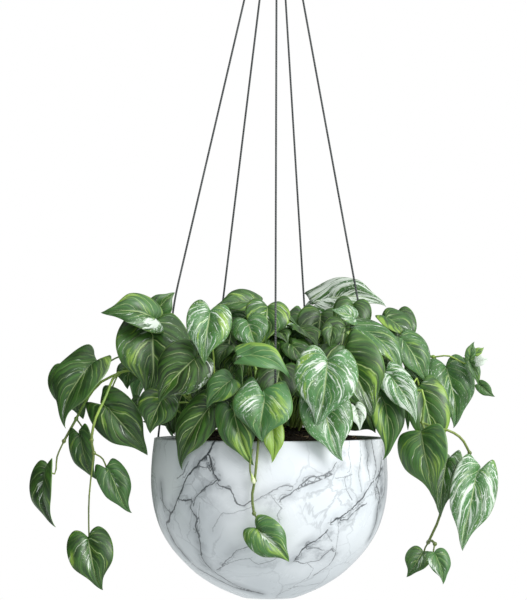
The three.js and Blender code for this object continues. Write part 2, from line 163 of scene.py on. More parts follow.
def showPiece(name, bm, finishes, replaces=(), smooth=True):
    mesh = bpy.data.meshes.new(name)
    bm.to_mesh(mesh)
    bm.free()
    return showMesh(name, mesh, finishes, replaces, smooth)


def showMesh(name, mesh, finishes, replaces=(), smooth=True):
    piece = bpy.data.objects.new(name, mesh)
    bpy.context.scene.collection.objects.link(piece)
    for finish in finishes:
        mesh.materials.append(finish)
    if smooth:
        mesh.polygons.foreach_set("use_smooth", [True] * len(mesh.polygons))
    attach(piece, "root")
    if replaces:
        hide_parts(*replaces)
    return piece


def throughPoints(points, t):  # smooth line through points, t counted in points
    last = len(points) - 1
    i = min(int(t), last - 1)
    s = t - i
    a, b, c, d = (points[max(0, min(last, i + k))] for k in (-1, 0, 1, 2))
    return 0.5 * ((2 * b) + (c - a) * s + (2 * a - 5 * b + 4 * c - d) * s * s
                  + (3 * b - a - 3 * c + d) * s ** 3)


def quadratic(a, b, c, s):
    return a * (1 - s) ** 2 + b * 2 * s * (1 - s) + c * s * s


view = {"distance": 5000, "side": -5.8, "eye": 157, "aim": 138, "lens": 300}

lens = bpy.data.cameras.new("view")
lens.lens = view["lens"]
lens.clip_start, lens.clip_end = 0.1, 60
camera = bpy.data.objects.new("view", lens)
camera.location = spot(view["side"], -view["distance"], view["eye"])
tilt = math.atan2(view["aim"] - view["eye"], view["distance"])
camera.rotation_euler = (math.pi / 2 + tilt, 0, 0)
bpy.context.scene.collection.objects.link(camera)
bpy.context.scene.camera = camera

studio = {"floorDrop": 1300, "floorRadius": 9000, "brightSide": (0.9, -0.4, 0.15), "skyDim": "#3a4036",
          "skyBright": "#f6fbff", "key": 2.4, "keySoft": 35, "top": 0.5}

scene = bpy.context.scene
scene.view_settings.view_transform = "Standard"
world = bpy.data.worlds.new("studio")
world.use_nodes = True
scene.world = world
sky = world.node_tree
air = addNode(sky, "TexCoord")
toLight = addNode(sky, "VectorMath", {"operation": "DOT_PRODUCT",
                                      1: tuple(Vector(studio["brightSide"]).normalized())},
                  {0: air.outputs["Generated"]})
glow = blendColours(sky, studio["skyDim"], studio["skyBright"],
                    ramp(sky, toLight.outputs["Value"], -0.7, 0.9))
seen = addNode(sky, "LightPath").outputs["Is Camera Ray"]
feed(sky, blendColours(sky, glow, "#ffffff", seen), sky.nodes["Background"].inputs["Color"])


def addSun(name, strength, softness, toward):  # toward is the way its light travels
    lamp = bpy.data.lights.new(name, "SUN")
    lamp.energy = strength
    lamp.angle = math.radians(softness)
    holder = bpy.data.objects.new(name, lamp)
    holder.rotation_euler = Vector(toward).to_track_quat("-Z", "Y").to_euler()
    scene.collection.objects.link(holder)


# from the right and front, a little above
addSun("key", studio["key"], studio["keySoft"], (-0.78, 0.6, -0.55))
addSun("top", studio["top"], 60, (0.15, 0.35, -1))

floorMesh = bmesh.new()
bmesh.ops.create_circle(floorMesh, cap_ends=True, segments=96, radius=studio["floorRadius"] * mm)
bmesh.ops.translate(floorMesh, verts=floorMesh.verts, vec=spot(0, 0, -studio["floorDrop"]))
floorData = bpy.data.meshes.new("floor")
floorMesh.to_mesh(floorData)
floorMesh.free()
floor = bpy.data.objects.new("floor", floorData)
scene.collection.objects.link(floor)
floorPaint, floorTree, floorShader = newFinish("pale studio floor", {"Roughness": 0.9})
feed(floorTree, blendColours(floorTree, "#d2d5d6", "#f4f4f2",
                             addNode(floorTree, "LightPath").outputs["Is Camera Ray"]),
     floorShader.inputs["Base Color"])  # bright to look at, without lighting the bowl from below
floorData.materials.append(floorPaint)
print("camera, light and floor set")


cordRun = {
    "diameter": 2, "circle": 3.5, "top": 562.7, "holeDepth": 9, "inside": 107.5, "outside": 118.1,
    "places": {"cord_front": 2.7, "cord_right": 103, "cord_back_right": 158, "cord_back_left": 213,
               "cord_left": 252},
    "leans": {"cord_left": (-95, 4, 138)},  # rests on the foliage on its way down
}


def twistedCord():  # dark waxed twine: two plies winding, matt with faint fuzz
    finish, tree, shader = newFinish("waxed twine, laid dark grey",
                                     {"Roughness": 0.72, "Sheen Weight": 0.25})
    place = addNode(tree, "TexCoord")
    split = addNode(tree, "SeparateXYZ", {}, {"Vector": place.outputs["Object"]})
    wind = sums(tree, "SINE", plus(tree, times(tree, split.outputs["Z"], 2600),
                                   times(tree, split.outputs["X"], 1400)))
    fuzz = addNode(tree, "TexNoise", {"Scale": 900, "Detail": 3}, {"Vector": place.outputs["Object"]})
    worn = addNode(tree, "TexNoise", {"Scale": 35, "Detail": 2}, {"Vector": place.outputs["Object"]})
    strand = blendColours(tree, "#2c2f2f", "#575b5a", ramp(tree, wind, -0.6, 1))
    feed(tree, blendColours(tree, strand, "#6c706e", ramp(tree, worn, 0.5, 0.8, 0, 0.45)),
         shader.inputs["Base Color"])
    height = plus(tree, wind, fuzz)
    bump = addNode(tree, "Bump", {"Strength": 0.6, "Distance": 0.0002}, {"Height": height})
    feed(tree, bump, shader.inputs["Normal"])
    return finish


def brushedSteel():  # turned stainless: grey with fine rings and soft highlights
    finish, tree, shader = newFinish("stainless steel, drawn and brushed", {"Metallic": 1.0})
    place = addNode(tree, "TexCoord")
    squeeze = addNode(tree, "Mapping", {"Scale": (300, 300, 4000)}, {"Vector": place.outputs["Object"]})
    lines = addNode(tree, "TexNoise", {"Scale": 1, "Detail": 4}, {"Vector": squeeze})
    haze = addNode(tree, "TexNoise", {"Scale": 160, "Detail": 3}, {"Vector": place.outputs["Object"]})
    feed(tree, blendColours(tree, "#9b9fa0", "#c3c6c6", lines), shader.inputs["Base Color"])
    feed(tree, ramp(tree, haze, 0.3, 0.75, 0.22, 0.42), shader.inputs["Roughness"])
    feed(tree, addNode(tree, "Bump", {"Strength": 0.25, "Distance": 0.00008}, {"Height": lines}),
         shader.inputs["Normal"])
    return finish


twine = twistedCord()
steel = brushedSteel()

fitting = {"ring": 15, "wire": 2, "grooves": 3}

wheel = bmesh.new()  # the wire's section, spun into the ring
ringMiddle = Vector((hookX, 0, (ringLow.z + ringHigh.z) / 2))
bmesh.ops.create_circle(wheel, segments=20, radius=fitting["wire"] * mm)
bmesh.ops.rotate(wheel, verts=wheel.verts, cent=(0, 0, 0), matrix=Matrix.Rotation(math.pi / 2, 3, "Y"))
bmesh.ops.rotate(wheel, verts=wheel.verts, cent=(0, 0, 0), matrix=Matrix.Rotation(math.pi / 2, 3, "Z"))
bmesh.ops.rotate(wheel, verts=wheel.verts, cent=(0, 0, 0), matrix=Matrix.Rotation(math.pi / 2, 3, "X"))
bmesh.ops.translate(wheel, verts=wheel.verts, vec=(fitting["ring"] * mm, 0, 0))
bmesh.ops.spin(wheel, geom=wheel.verts[:] + wheel.edges[:], cent=(0, 0, 0), axis=(0, 1, 0),
               angle=math.tau, steps=96, use_merge=True)
bmesh.ops.remove_doubles(wheel, verts=wheel.verts, dist=1e-6)
bmesh.ops.recalc_face_normals(wheel, faces=wheel.faces)
bmesh.ops.translate(wheel, verts=wheel.verts, vec=ringMiddle)
ring = showPiece("hangingRing", wheel, [steel], ["hanging_ring"])

sleeveLow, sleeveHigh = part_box("gather_sleeve")
sleeveTall = (sleeveHigh.z - sleeveLow.z) / mm
outline = [(0, 0), (4.2, 0), (5.1, 0.5), (5.5, 1.4)]  # radius and height, with crimped grooves up the side
for groove in range(fitting["grooves"]):
    start = 3.5 + groove * (sleeveTall - 7) / (fitting["grooves"] - 0.5)
    outline += [(5.5, start), (4.9, start + 0.6), (4.75, start + 1.5), (4.9, start + 2.4),
                (5.5, start + 3.0)]
outline += [(5.5, sleeveTall - 1.4), (5.1, sleeveTall - 0.5), (4.4, sleeveTall), (0, sleeveTall)]
crimp = turnedShape(outline, 48)
bmesh.ops.translate(crimp, verts=crimp.verts, vec=(hookX, 0, sleeveLow.z))
sleeve = showPiece("gatherSleeve", crimp, [steel], ["gather_sleeve"])


def cordLine(angle, leansOn):  # sleeve, down over the rim and in through the bowl's hole
    top = aroundRim(angle, cordRun["circle"], cordRun["top"])
    top.x += hookX - rimCentre.x
    overRim = aroundRim(angle, cordRun["outside"], -4)
    lean = spot(*leansOn) if leansOn else top.lerp(overRim, 0.7)
    above, below = lean.lerp(top, 0.04), lean.lerp(overRim, 0.12)
    turnIn = aroundRim(angle, 118.6, -cordRun["holeDepth"])
    inHole = aroundRim(angle, 114, -cordRun["holeDepth"])
    line = [top.lerp(above, i / 7) for i in range(8)]
    line += [quadratic(above, lean, below, i / 5) for i in range(1, 5)]
    line += [below.lerp(overRim, i / 5) for i in range(6)]
    line += [quadratic(overRim, turnIn, inHole, i / 7) for i in range(1, 8)]
    line += [aroundRim(angle, cordRun["inside"], -cordRun["holeDepth"])]
    return line[::-1]


def openCurve(name, lines, radius, finish):
    curve = bpy.data.curves.new(name, "CURVE")
    curve.dimensions = "3D"
    curve.bevel_depth = radius * mm
    curve.bevel_resolution = 3
    curve.use_fill_caps = True
    for line in lines:
        spline = curve.splines.new("POLY")
        spline.points.add(len(line) - 1)
        for point, place in zip(spline.points, line):
            point.co = (*place, 1)
        spline.use_smooth = True
    curve.materials.append(finish)
    piece = bpy.data.objects.new(name, curve)
    scene.collection.objects.link(piece)
    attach(piece, "root")
    return piece


knotLines = []
for name, angle in cordRun["places"].items():
    line = cordLine(angle, cordRun["leans"].get(name))
    cord = openCurve(name + "_twine", [line], cordRun["diameter"] / 2, twine)
    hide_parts(name)
    loop = []  # an overhand knot keeps the cord from pulling out
    for i in range(49):
        turn = i / 48 * math.tau
        swing = 1.5 + 0.75 * math.cos(3 * turn)
        local = Vector((0.9 * math.sin(3 * turn), swing * math.cos(2 * turn), swing * math.sin(2 * turn)))
        out = (line[1] - line[0]).normalized()
        swung = Matrix.Rotation(math.radians(angle - 90), 3, "Z") @ (local * mm)
        loop.append(line[0] + swung - out * 0.4 * mm)
    knotLines.append(loop)
openCurve("cordKnots", knotLines, 0.95, twine)
print("cords, sleeve and ring made")


bowl = {
    "outside": [(0, 115), (-20, 117.4), (-42, 118.3), (-60, 117), (-76, 113.8), (-92, 108.2), (-108, 98.8),
                # height and radius, rim to foot
                (-122, 87), (-136, 72), (-147, 55), (-155, 38), (-159.5, 26)],
    "inside": [(-1.2, 110.2), (-14, 111.8), (-42, 113.3), (-66, 110.9), (-88, 104.2), (-112, 88.5),
               (-132, 67.5), (-146, 45), (-154, 24), (-154, 0)],
    "turns": 416, "hole": 2.6,
}

# Veins on the front of the bowl: how dark, then points right of the axis and above the rim.
frontVeins = [
    (0.9, [(-55, -2), (-59, -11), (-68, -20)]),
    (0.9, [(-68, -20), (-71, -25), (-75, -28), (-81, -36), (-86, -48), (-90, -58), (-94, -68), (-98, -73),
        (-99, -80), (-102, -82), (-100, -91), (-94, -102), (-84, -115), (-72, -127), (-56, -136),
        (-34, -147),
        (-11, -152)]),
    (0.85, [(-59, -14), (-57, -25), (-54, -32), (-50, -37)]),
    (0.75, [(-50, -37), (-55, -42), (-63, -45), (-69, -52), (-73, -58), (-74, -65)]),
    (0.7, [(-51, -38), (-49, -43), (-43, -45), (-38, -47), (-35, -52), (-34, -58), (-30, -62), (-24, -62),
        (-20, -59)]),
    (0.8, [(-90, -58), (-82, -59), (-77, -58), (-77, -66), (-71, -76), (-73, -84), (-69, -94), (-68, -102),
        (-67, -113), (-62, -123), (-54, -130), (-45, -137), (-24, -148), (-9, -153)]),
    (0.6, [(-107, -45), (-106, -58), (-104, -69)]),
    (0.6, [(-107, -60), (-98, -72)]),
    (0.5, [(-81, -23), (-85, -33), (-89, -36)]),
    (0.6, [(-68, -25), (-61, -25), (-58, -29)]),
    (0.35, [(-68, -63), (-69, -74), (-68, -98)]),
    (0.55, [(-52, -128), (-47, -125), (-43, -118), (-37, -113), (-33, -107), (-26, -105), (-20, -103)]),
    (0.35, [(-47, -125), (-35, -118), (-26, -116), (-19, -115), (-16, -119), (-11, -122), (1, -119),
            (5, -116)]),
    (0.5, [(-14, -57), (-7, -53), (1, -49), (10, -44), (17, -43), (27, -45)]),
    (0.65, [(11, -57), (19, -52), (27, -45), (34, -40), (40, -35), (53, -34), (61, -28), (64, -23)]),
    (0.6, [(27, -46), (35, -43), (45, -40), (52, -37), (60, -33)]),
    (0.3, [(3, -54), (8, -61), (11, -65), (7, -72), (9, -76)]),
    (0.95, [(25, -117), (27, -113), (33, -106), (38, -101), (44, -98), (52, -92), (57, -86), (60, -80),
        (65, -77), (70, -75), (76, -70), (82, -66), (87, -61), (92, -57), (96, -49), (101, -42), (107, -37),
        (111, -30)]),
    (0.7, [(70, -78), (77, -77), (83, -70), (89, -66), (94, -63)]),
    (0.55, [(25, -117), (32, -121), (42, -119), (49, -118), (55, -112), (61, -107), (65, -112), (62, -118),
        (59, -124), (52, -128), (46, -132)]),
    (0.5, [(38, -106), (44, -105), (51, -107)]),
    (0.35, [(60, -79), (57, -90), (60, -97)]),
    (0.3, [(67, -78), (67, -97), (65, -109)]),
    (1, [(111, -21), (109, -34), (106, -45), (109, -58), (107, -68), (105, -83), (100, -97)]),
    (0.8, [(113, -14), (115, -34), (114, -53), (109, -63)]),
    (0.7, [(101, 1), (103, -14), (106, -29), (103, -40), (105, -56)]),
    (0.5, [(95, -1), (97, -14), (96, -24), (99, -37)]),
    (0.35, [(79, -1), (78, -14), (80, -22), (79, -29)]),
    (0.5, [(74, -37), (76, -48), (80, -56)]),
    (0.35, [(67, -36), (79, -34)]),
    (0.35, [(90, -2), (90, -17), (87, -34), (90, -48)]),
    (0.45, [(10, -153), (20, -147), (30, -145), (48, -143)]),
    (0.3, [(19, -149), (26, -143), (33, -139)]),
    (0.25, [(39, -135), (43, -127), (39, -122)]),
    (0.25, [(-19, -65), (-26, -67), (-37, -70), (-46, -70), (-51, -77), (-55, -86)]),
]
# Grey patches: right of the axis, above the rim, how wide, how dark.
frontClouds = [
    (-63, -18, 4, 1), (-60, -22, 4, 0.8), (71, -23, 9, 0.5), (87, -29, 8, 0.35), (91, -60, 7, 0.3),
    (111, -39, 11, 0.7),
    (107, -58, 8, 0.55), (3, -62, 9, 0.3), (-73, -88, 10, 0.3), (79, -72, 6, 0.5), (48, -108, 10, 0.35),
    (-83, -29, 10, 0.3),
    (-100, -82, 7, 0.4), (-64, -124, 9, 0.5), (-40, -141, 8, 0.4), (60, -116, 8, 0.25), (-60, -60, 12, 0.2),
    (38, -104, 7, 0.6), (57, -90, 7, 0.6), (70, -78, 6, 0.7), (88, -62, 6, 0.6), (50, -113, 8, 0.5),
    (32, -114, 5, 0.5),
    (74, -12, 8, 0.45), (60, -30, 5, 0.5), (97, -20, 8, 0.5), (35, -42, 5, 0.4), (14, -55, 5, 0.4),
    (111, -50, 7, 1), (109, -68, 6, 0.9), (112, -30, 6, 0.9),
    (105, -84, 7, 0.5), (-96, -66, 5, 0.5), (-85, -46, 5, 0.4), (-70, -100, 5, 0.5), (-54, -36, 4, 0.6),
]


def radiusAt(height):  # the bowl's outside radius at a height
    heights = [h for h, r in bowl["outside"]][::-1]
    radii = [r for h, r in bowl["outside"]][::-1]
    return float(np.interp(height, heights, radii))


def wrapOn(x, z):  # a place seen from the front, put on the bowl
    radius = radiusAt(z)
    x = max(-0.985 * radius, min(0.985 * radius, x))
    return Vector((x, -math.sqrt(radius * radius - x * x), z))


def wanderingVeins(seed):  # the back of the bowl gets veins of the same kind
    chance = random.Random(seed)
    grown = []
    for strand in range(34):
        bearing, height = chance.uniform(95, 265), chance.uniform(-6, -120)
        weight = chance.choice((0.3, 0.4, 0.5, 0.6, 0.8, 0.95))
        heading = chance.uniform(-1.2, 1.2) - math.pi / 2 * chance.choice((0.6, 1))
        points = []
        for step in range(chance.randint(5, 15)):
            radius = radiusAt(height)
            turn = math.radians(bearing)
            points.append(Vector((radius * math.sin(turn), -radius * math.cos(turn), height)))
            heading += chance.uniform(-0.75, 0.75)
            bearing += math.degrees(math.cos(heading) * 7 / radius)
            height += math.sin(heading) * 7
            if not (86 < bearing < 274 and -150 < height < -1):
                break
        if len(points) > 2:
            grown.append((weight, points))
    return grown


def marbleFinish():  # polished white stone, grey veins that fray, milky clouds
    finish, tree, shader = newFinish("white marble, polished", {"Coat Weight": 0.35, "Coat Roughness": 0.08,
                                                                "Specular IOR Level": 0.45})
    place = addNode(tree, "TexCoord").outputs["Object"]
    side = addNode(tree, "Attribute", {"attribute_name": "veinSide"}).outputs["Fac"]
    near = addNode(tree, "Attribute", {"attribute_name": "veinNear"}).outputs["Fac"]
    dark = addNode(tree, "Attribute", {"attribute_name": "veinDark"}).outputs["Fac"]
    cloud = addNode(tree, "Attribute", {"attribute_name": "cloud"}).outputs["Fac"]
    fray = addNode(tree, "TexNoise", {"Scale": 230, "Detail": 5, "Roughness": 0.65}, {"Vector": place})
    sway = addNode(tree, "TexNoise", {"Scale": 60, "Detail": 2}, {"Vector": place})
    drift = addNode(tree, "TexNoise", {"Scale": 26, "Detail": 6, "Roughness": 0.6, "Distortion": 0.8},
                    {"Vector": place})
    broad = addNode(tree, "TexNoise", {"Scale": 9, "Detail": 3}, {"Vector": place})
    shift = plus(tree, times(tree, minus(tree, fray, 0.5), 0.0034),
                 times(tree, minus(tree, sway, 0.5), 0.004))
    off = sums(tree, "ABSOLUTE", plus(tree, side, shift))
    swell = times(tree, dark, ramp(tree, sway, 0.3, 0.68, 0.35, 1.5))
    edge = times(tree, swell, 0.0011)
    line = minus(tree, 1, sums(tree, "DIVIDE", off, plus(tree, edge, 0.00035)), clamp=True)
    line = ramp(tree, line, 0.05, 0.75)
    line = times(tree, line, ramp(tree, near, 0.0026, 0.0042, 1, 0))
    line = times(tree, line, ramp(tree, dark, 0.1, 0.95, 0.4, 1))
    halo = times(tree, ramp(tree, near, 0.0, 0.013, 1, 0),
                 times(tree, dark, ramp(tree, drift, 0.38, 0.62, 0.3, 1)))
    # a fainter companion weaves about each vein
    astray = plus(tree, times(tree, minus(tree, sway, 0.5), 0.021),
                  times(tree, minus(tree, fray, 0.5), 0.007))
    beside = sums(tree, "ABSOLUTE", plus(tree, side, astray))
    beside = minus(tree, 1, sums(tree, "DIVIDE", beside, plus(tree, times(tree, edge, 0.7), 0.0003)),
                  clamp=True)
    beside = times(tree, beside, times(tree, ramp(tree, near, 0.003, 0.007, 1, 0),
                                                 ramp(tree, drift, 0.4, 0.55, 0.1, 0.8)))
    line = sums(tree, "MAXIMUM", line, times(tree, beside, ramp(tree, dark, 0.2, 0.9, 0.25, 0.9)))
    # finer web between the main veins, broken up so that it comes and goes
    bent = addNode(tree, "VectorMath", {"operation": "MULTIPLY_ADD", 1: (0.03, 0.03, 0.03)},
                   {0: drift.outputs["Color"], 2: place})
    cells = addNode(tree, "TexVoronoi", {"feature": "DISTANCE_TO_EDGE", "Scale": 24},
                    {"Vector": bent.outputs[0]})
    web = ramp(tree, cells, 0.0, 0.035, 1, 0)
    web = times(tree, web, ramp(tree, broad, 0.48, 0.66, 0, 0.42))
    milk = ramp(tree, broad, 0.38, 0.72)
    stone = blendColours(tree, "#f3f6f8", "#dfe4e7", milk)
    mottle = times(tree, ramp(tree, drift, 0.34, 0.6, 0.8, 1.3), ramp(tree, fray, 0.35, 0.62, 0.6, 1.3))
    mist = times(tree, cloud, mottle, clamp=True)
    stone = blendColours(tree, stone, "#9a9fa3", sums(tree, "MAXIMUM", mist, times(tree, halo, 0.8)))
    core = times(tree, ramp(tree, cloud, 0.7, 0.95), ramp(tree, fray, 0.35, 0.6, 0.3, 0.8))
    stone = blendColours(tree, stone, "#7d8184", core)
    stone = blendColours(tree, stone, "#8c9093", web)
    stone = blendColours(tree, stone, "#484c4f", line)
    feed(tree, stone, shader.inputs["Base Color"])
    feed(tree, ramp(tree, drift, 0.3, 0.7, 0.24, 0.36), shader.inputs["Roughness"])
    feed(tree, addNode(tree, "Bump", {"Strength": 0.15, "Distance": 0.0001}, {"Height": fray}),
         shader.inputs["Normal"])
    return finish


def buildBowl():
    profile = [Vector((0, 0, -159.5))]
    outside = [Vector((r, 0, h)) for h, r in bowl["outside"]][::-1]
    profile += [Vector((13, 0, -159.5))]
    profile += [throughPoints(outside, i / 9) for i in range(9 * (len(outside) - 1) + 1)]
    profile += [Vector((r, 0, h)) for r, h in ((114.85, 0.0), (114.1, 0.35), (112.6, 0.35), (111.4, 0.1),
                                               (110.6, -0.4))]
    inside = [Vector((r, 0, h)) for h, r in bowl["inside"]]
    profile += [throughPoints(inside, i / 3) for i in range(3 * (len(inside) - 1) + 1)]
    turned = turnedShape([(p.x, p.z) for p in profile], bowl["turns"])
    bmesh.ops.translate(turned, verts=turned.verts, vec=rimCentre)
    piece = showPiece("marbleBowl", turned, [marble], ["pot"])
    drills = bmesh.new()  # one hole through the wall for each cord
    for angle in cordRun["places"].values():
        turn = Matrix.Translation(aroundRim(angle, 112.5, -cordRun["holeDepth"])) @ \
            Matrix.Rotation(math.radians(angle - 90), 4, "Z") @ Matrix.Rotation(math.pi / 2, 4, "Y")
        bmesh.ops.create_cone(drills, cap_ends=True, segments=24, radius1=bowl["hole"] * mm,
                              radius2=bowl["hole"] * mm, depth=0.02, matrix=turn)
    drillMesh = bpy.data.meshes.new("drills")
    drills.to_mesh(drillMesh)
    drills.free()
    drill = bpy.data.objects.new("drills", drillMesh)
    scene.collection.objects.link(drill)
    cut = piece.modifiers.new("holes", "BOOLEAN")
    cut.object, cut.operation, cut.solver = drill, "DIFFERENCE", "EXACT"
    pierced = bpy.data.meshes.new_from_object(piece.evaluated_get(bpy.context.evaluated_depsgraph_get()))
    piece.modifiers.clear()
    piece.data = pierced
    bpy.data.objects.remove(drill)
    paintVeins(pierced)
    return piece


def paintVeins(mesh):  # how far each point is from the nearest vein, and on which side
    count = len(mesh.vertices)
    at = np.zeros(count * 3)
    mesh.vertices.foreach_get("co", at)
    at = (at.reshape(-1, 3) - np.array(rimCentre)) / mm
    flat = np.hypot(at[:, 0], at[:, 1])
    outward = np.stack([at[:, 0] / np.maximum(flat, 1e-6), at[:, 1] / np.maximum(flat, 1e-6),
                        np.interp(at[:, 2], [-160, -110, -40, 0], [-1.6, -0.7, 0, 0.15])], axis=1)
    best = np.full(count, 1e9)
    side = np.full(count, 50.0)
    dark = np.zeros(count)
    strands = [(w, [wrapOn(x, z) for x, z in run]) for w, run in frontVeins] + wanderingVeins(11)
    for weight, run in strands:
        for a, b in zip(run, run[1:]):
            a, b = np.array(a), np.array(b)
            lie = b - a
            share = np.clip(((at - a) @ lie) / (lie @ lie), 0, 1)
            gap = at - (a + share[:, None] * lie)
            far = np.sqrt((gap ** 2).sum(axis=1))
            across = np.cross(lie, outward)
            across /= np.maximum(np.linalg.norm(across, axis=1), 1e-9)[:, None]
            signed = (gap * across).sum(axis=1)
            inside = (share > 0) & (share < 1)
            signed = np.where(inside, np.sign(signed + 1e-9) * far, signed)
            closer = far < best
            best[closer], side[closer], dark[closer] = far[closer], signed[closer], weight
    clouds = np.zeros(count)
    chance = random.Random(5)
    patches = [(wrapOn(x, z), wide, deep) for x, z, wide, deep in frontClouds]
    for extra in range(16):
        bearing, height = math.radians(chance.uniform(100, 260)), chance.uniform(-10, -130)
        radius = radiusAt(height)
        patches.append((Vector((radius * math.sin(bearing), -radius * math.cos(bearing), height)),
                        chance.uniform(5, 12), chance.uniform(0.2, 0.8)))
    for centre, wide, deep in patches:
        away = ((at - np.array(centre)) ** 2).sum(axis=1)
        clouds = np.maximum(clouds, deep * np.exp(-away / (2 * (wide * 0.75) ** 2)))
    for label, values in (("veinSide", side * mm), ("veinNear", best * mm), ("veinDark", dark),
                          ("cloud", clouds)):
        layer = mesh.attributes.new(label, "FLOAT", "POINT")
        layer.data.foreach_set("value", values.astype(np.float32))


marble = marbleFinish()
bowlPiece = buildBowl()
print("bowl turned and veined,", len(bowlPiece.data.polygons), "faces")


mix = {"top": [(11, 0), (9.5, 40), (6, 66), (2, 82), (-2.5, 92), (-7.5, 99), (-12.5, 104), (-20, 111.2)],
       "lumps": 420, "twigs": 130, "seed": 7}


def soilFinish():  # damp peat: near black crumbs, warm brown fibre, dull
    finish, tree, shader = newFinish("peat potting mix", {"Specular IOR Level": 0.25})
    place = addNode(tree, "TexCoord").outputs["Object"]
    crumbs = addNode(tree, "TexVoronoi", {"Scale": 420}, {"Vector": place})
    grit = addNode(tree, "TexNoise", {"Scale": 700, "Detail": 5}, {"Vector": place})
    damp = addNode(tree, "TexNoise", {"Scale": 40, "Detail": 3}, {"Vector": place})
    brown = blendColours(tree, "#1d1610", "#4b3b2b", ramp(tree, grit, 0.35, 0.7))
    brown = blendColours(tree, brown, "#2a2219", ramp(tree, crumbs, 0.1, 0.6))
    feed(tree, blendColours(tree, brown, "#15100b", ramp(tree, damp, 0.45, 0.7)),
         shader.inputs["Base Color"])
    feed(tree, ramp(tree, damp, 0.4, 0.7, 0.95, 0.7), shader.inputs["Roughness"])
    height = plus(tree, crumbs.outputs["Distance"], grit)
    feed(tree, addNode(tree, "Bump", {"Strength": 0.9, "Distance": 0.0012}, {"Height": height}),
         shader.inputs["Normal"])
    return finish


def twigFinish():  # dry coir and bark slivers, straw to grey-brown
    finish, tree, shader = newFinish("dry coir fibre and bark", {"Roughness": 0.85})
    place = addNode(tree, "TexCoord").outputs["Object"]
    shade = addNode(tree, "TexNoise", {"Scale": 90, "Detail": 2}, {"Vector": place})
    grain = addNode(tree, "TexNoise", {"Scale": 1500, "Detail": 3}, {"Vector": place})
    dry = blendColours(tree, "#5f4a34", "#a08a68", ramp(tree, shade, 0.35, 0.65))
    feed(tree, blendColours(tree, dry, "#3b2d20", ramp(tree, grain, 0.5, 0.8)), shader.inputs["Base Color"])
    feed(tree, addNode(tree, "Bump", {"Strength": 0.5, "Distance": 0.0002}, {"Height": grain}),
         shader.inputs["Normal"])
    return finish


def soilHeight(radius):
    return float(np.interp(radius, [r for h, r in mix["top"]], [h for h, r in mix["top"]]))


def buildSoil():
    chance = random.Random(mix["seed"])
    profile = [Vector((111.0, 0, -24)), Vector((112.6, 0, -60)), Vector((86, 0, -112)),
               Vector((44, 0, -145)),
               Vector((0, 0, -153))][::-1]
    profile += [Vector((r, 0, soilHeight(r))) for r in (111, 108.5, 106, 103.5, 101, 98.5, 96, 93, 90, 87,
                                                        84, 80, 76,
                                                         72, 67, 62, 56, 50, 44, 37, 30, 22, 14, 7, 0)]
    heap = turnedShape([(p.x, p.z) for p in profile], 150)
    for v in heap.verts:  # a crumbly surface, level with the wall at its edge
        p = v.co / mm
        reach = math.hypot(p.x, p.y)
        if p.z > -22 and reach < 110:
            v.co.z += (noise.noise(p * 0.22) * 1.6 + noise.noise(p * 0.6) * 0.9) * mm
    for lump in range(mix["lumps"]):
        radius, turn = 106 * math.sqrt(chance.random()), chance.uniform(0, math.tau)
        size = chance.uniform(0.8, 2.4)
        seat = Vector((radius * math.cos(turn), radius * math.sin(turn),
                       soilHeight(radius) + size * 0.25)) * mm
        shape = Matrix.Translation(seat) \
            @ Matrix.Rotation(chance.uniform(0, 3), 4, (chance.random(), chance.random(), 1)) \
            @ Matrix.Diagonal((1, chance.uniform(0.6, 1), chance.uniform(0.5, 0.9), 1))
        bmesh.ops.create_icosphere(heap, subdivisions=1, radius=size * mm, matrix=shape)
    bmesh.ops.translate(heap, verts=heap.verts, vec=rimCentre)
    soilPiece = showPiece("pottingMix", heap, [soilFinish()], ["soil"])
    bits = bmesh.new()
    for twig in range(mix["twigs"]):
        radius, turn = 104 * math.sqrt(chance.uniform(0.1, 1)), chance.uniform(0, math.tau)
        long = chance.uniform(5, 15)
        seat = Vector((radius * math.cos(turn), radius * math.sin(turn), soilHeight(radius) + 1.3)) * mm
        lay = Matrix.Translation(seat) @ Matrix.Rotation(chance.uniform(0, math.tau), 4, "Z") \
            @ Matrix.Rotation(math.pi / 2 + chance.uniform(-0.3, 0.3), 4, "Y")
        thick = chance.uniform(0.25, 0.6)
        bmesh.ops.create_cone(bits, cap_ends=True, segments=6, radius1=thick * mm, radius2=thick * 0.5 * mm,
                              depth=long * mm, matrix=lay)
    bmesh.ops.translate(bits, verts=bits.verts, vec=rimCentre)
    showPiece("fibreBits", bits, [twigFinish()])
    return soilPiece


buildSoil()
print("soil heaped")


blade = {"across": 26, "along": 40, "thick": 0.45, "fold": 14, "arch": 0.08,
         "bulge": 0.16, "quilt": 0.35, "wave": 1.1, "curl": 0.10, "drip": 0.34, "veins": 5.4, "sweep": 0.5}

# The outline from base to tip, in shares of the length and half the width:
# how far along the midrib is, how far along the margin is, how far out the margin is.
outlineShares = [(0, 0, 0), (0.04, -0.12, 0.24), (0.09, -0.16, 0.54), (0.17, -0.06, 0.82),
                 (0.27, 0.11, 0.98),
                 (0.39, 0.31, 1), (0.52, 0.51, 0.88), (0.66, 0.69, 0.65), (0.8, 0.84, 0.37),
                 (0.92, 0.94, 0.12), (1, 1, 0)]

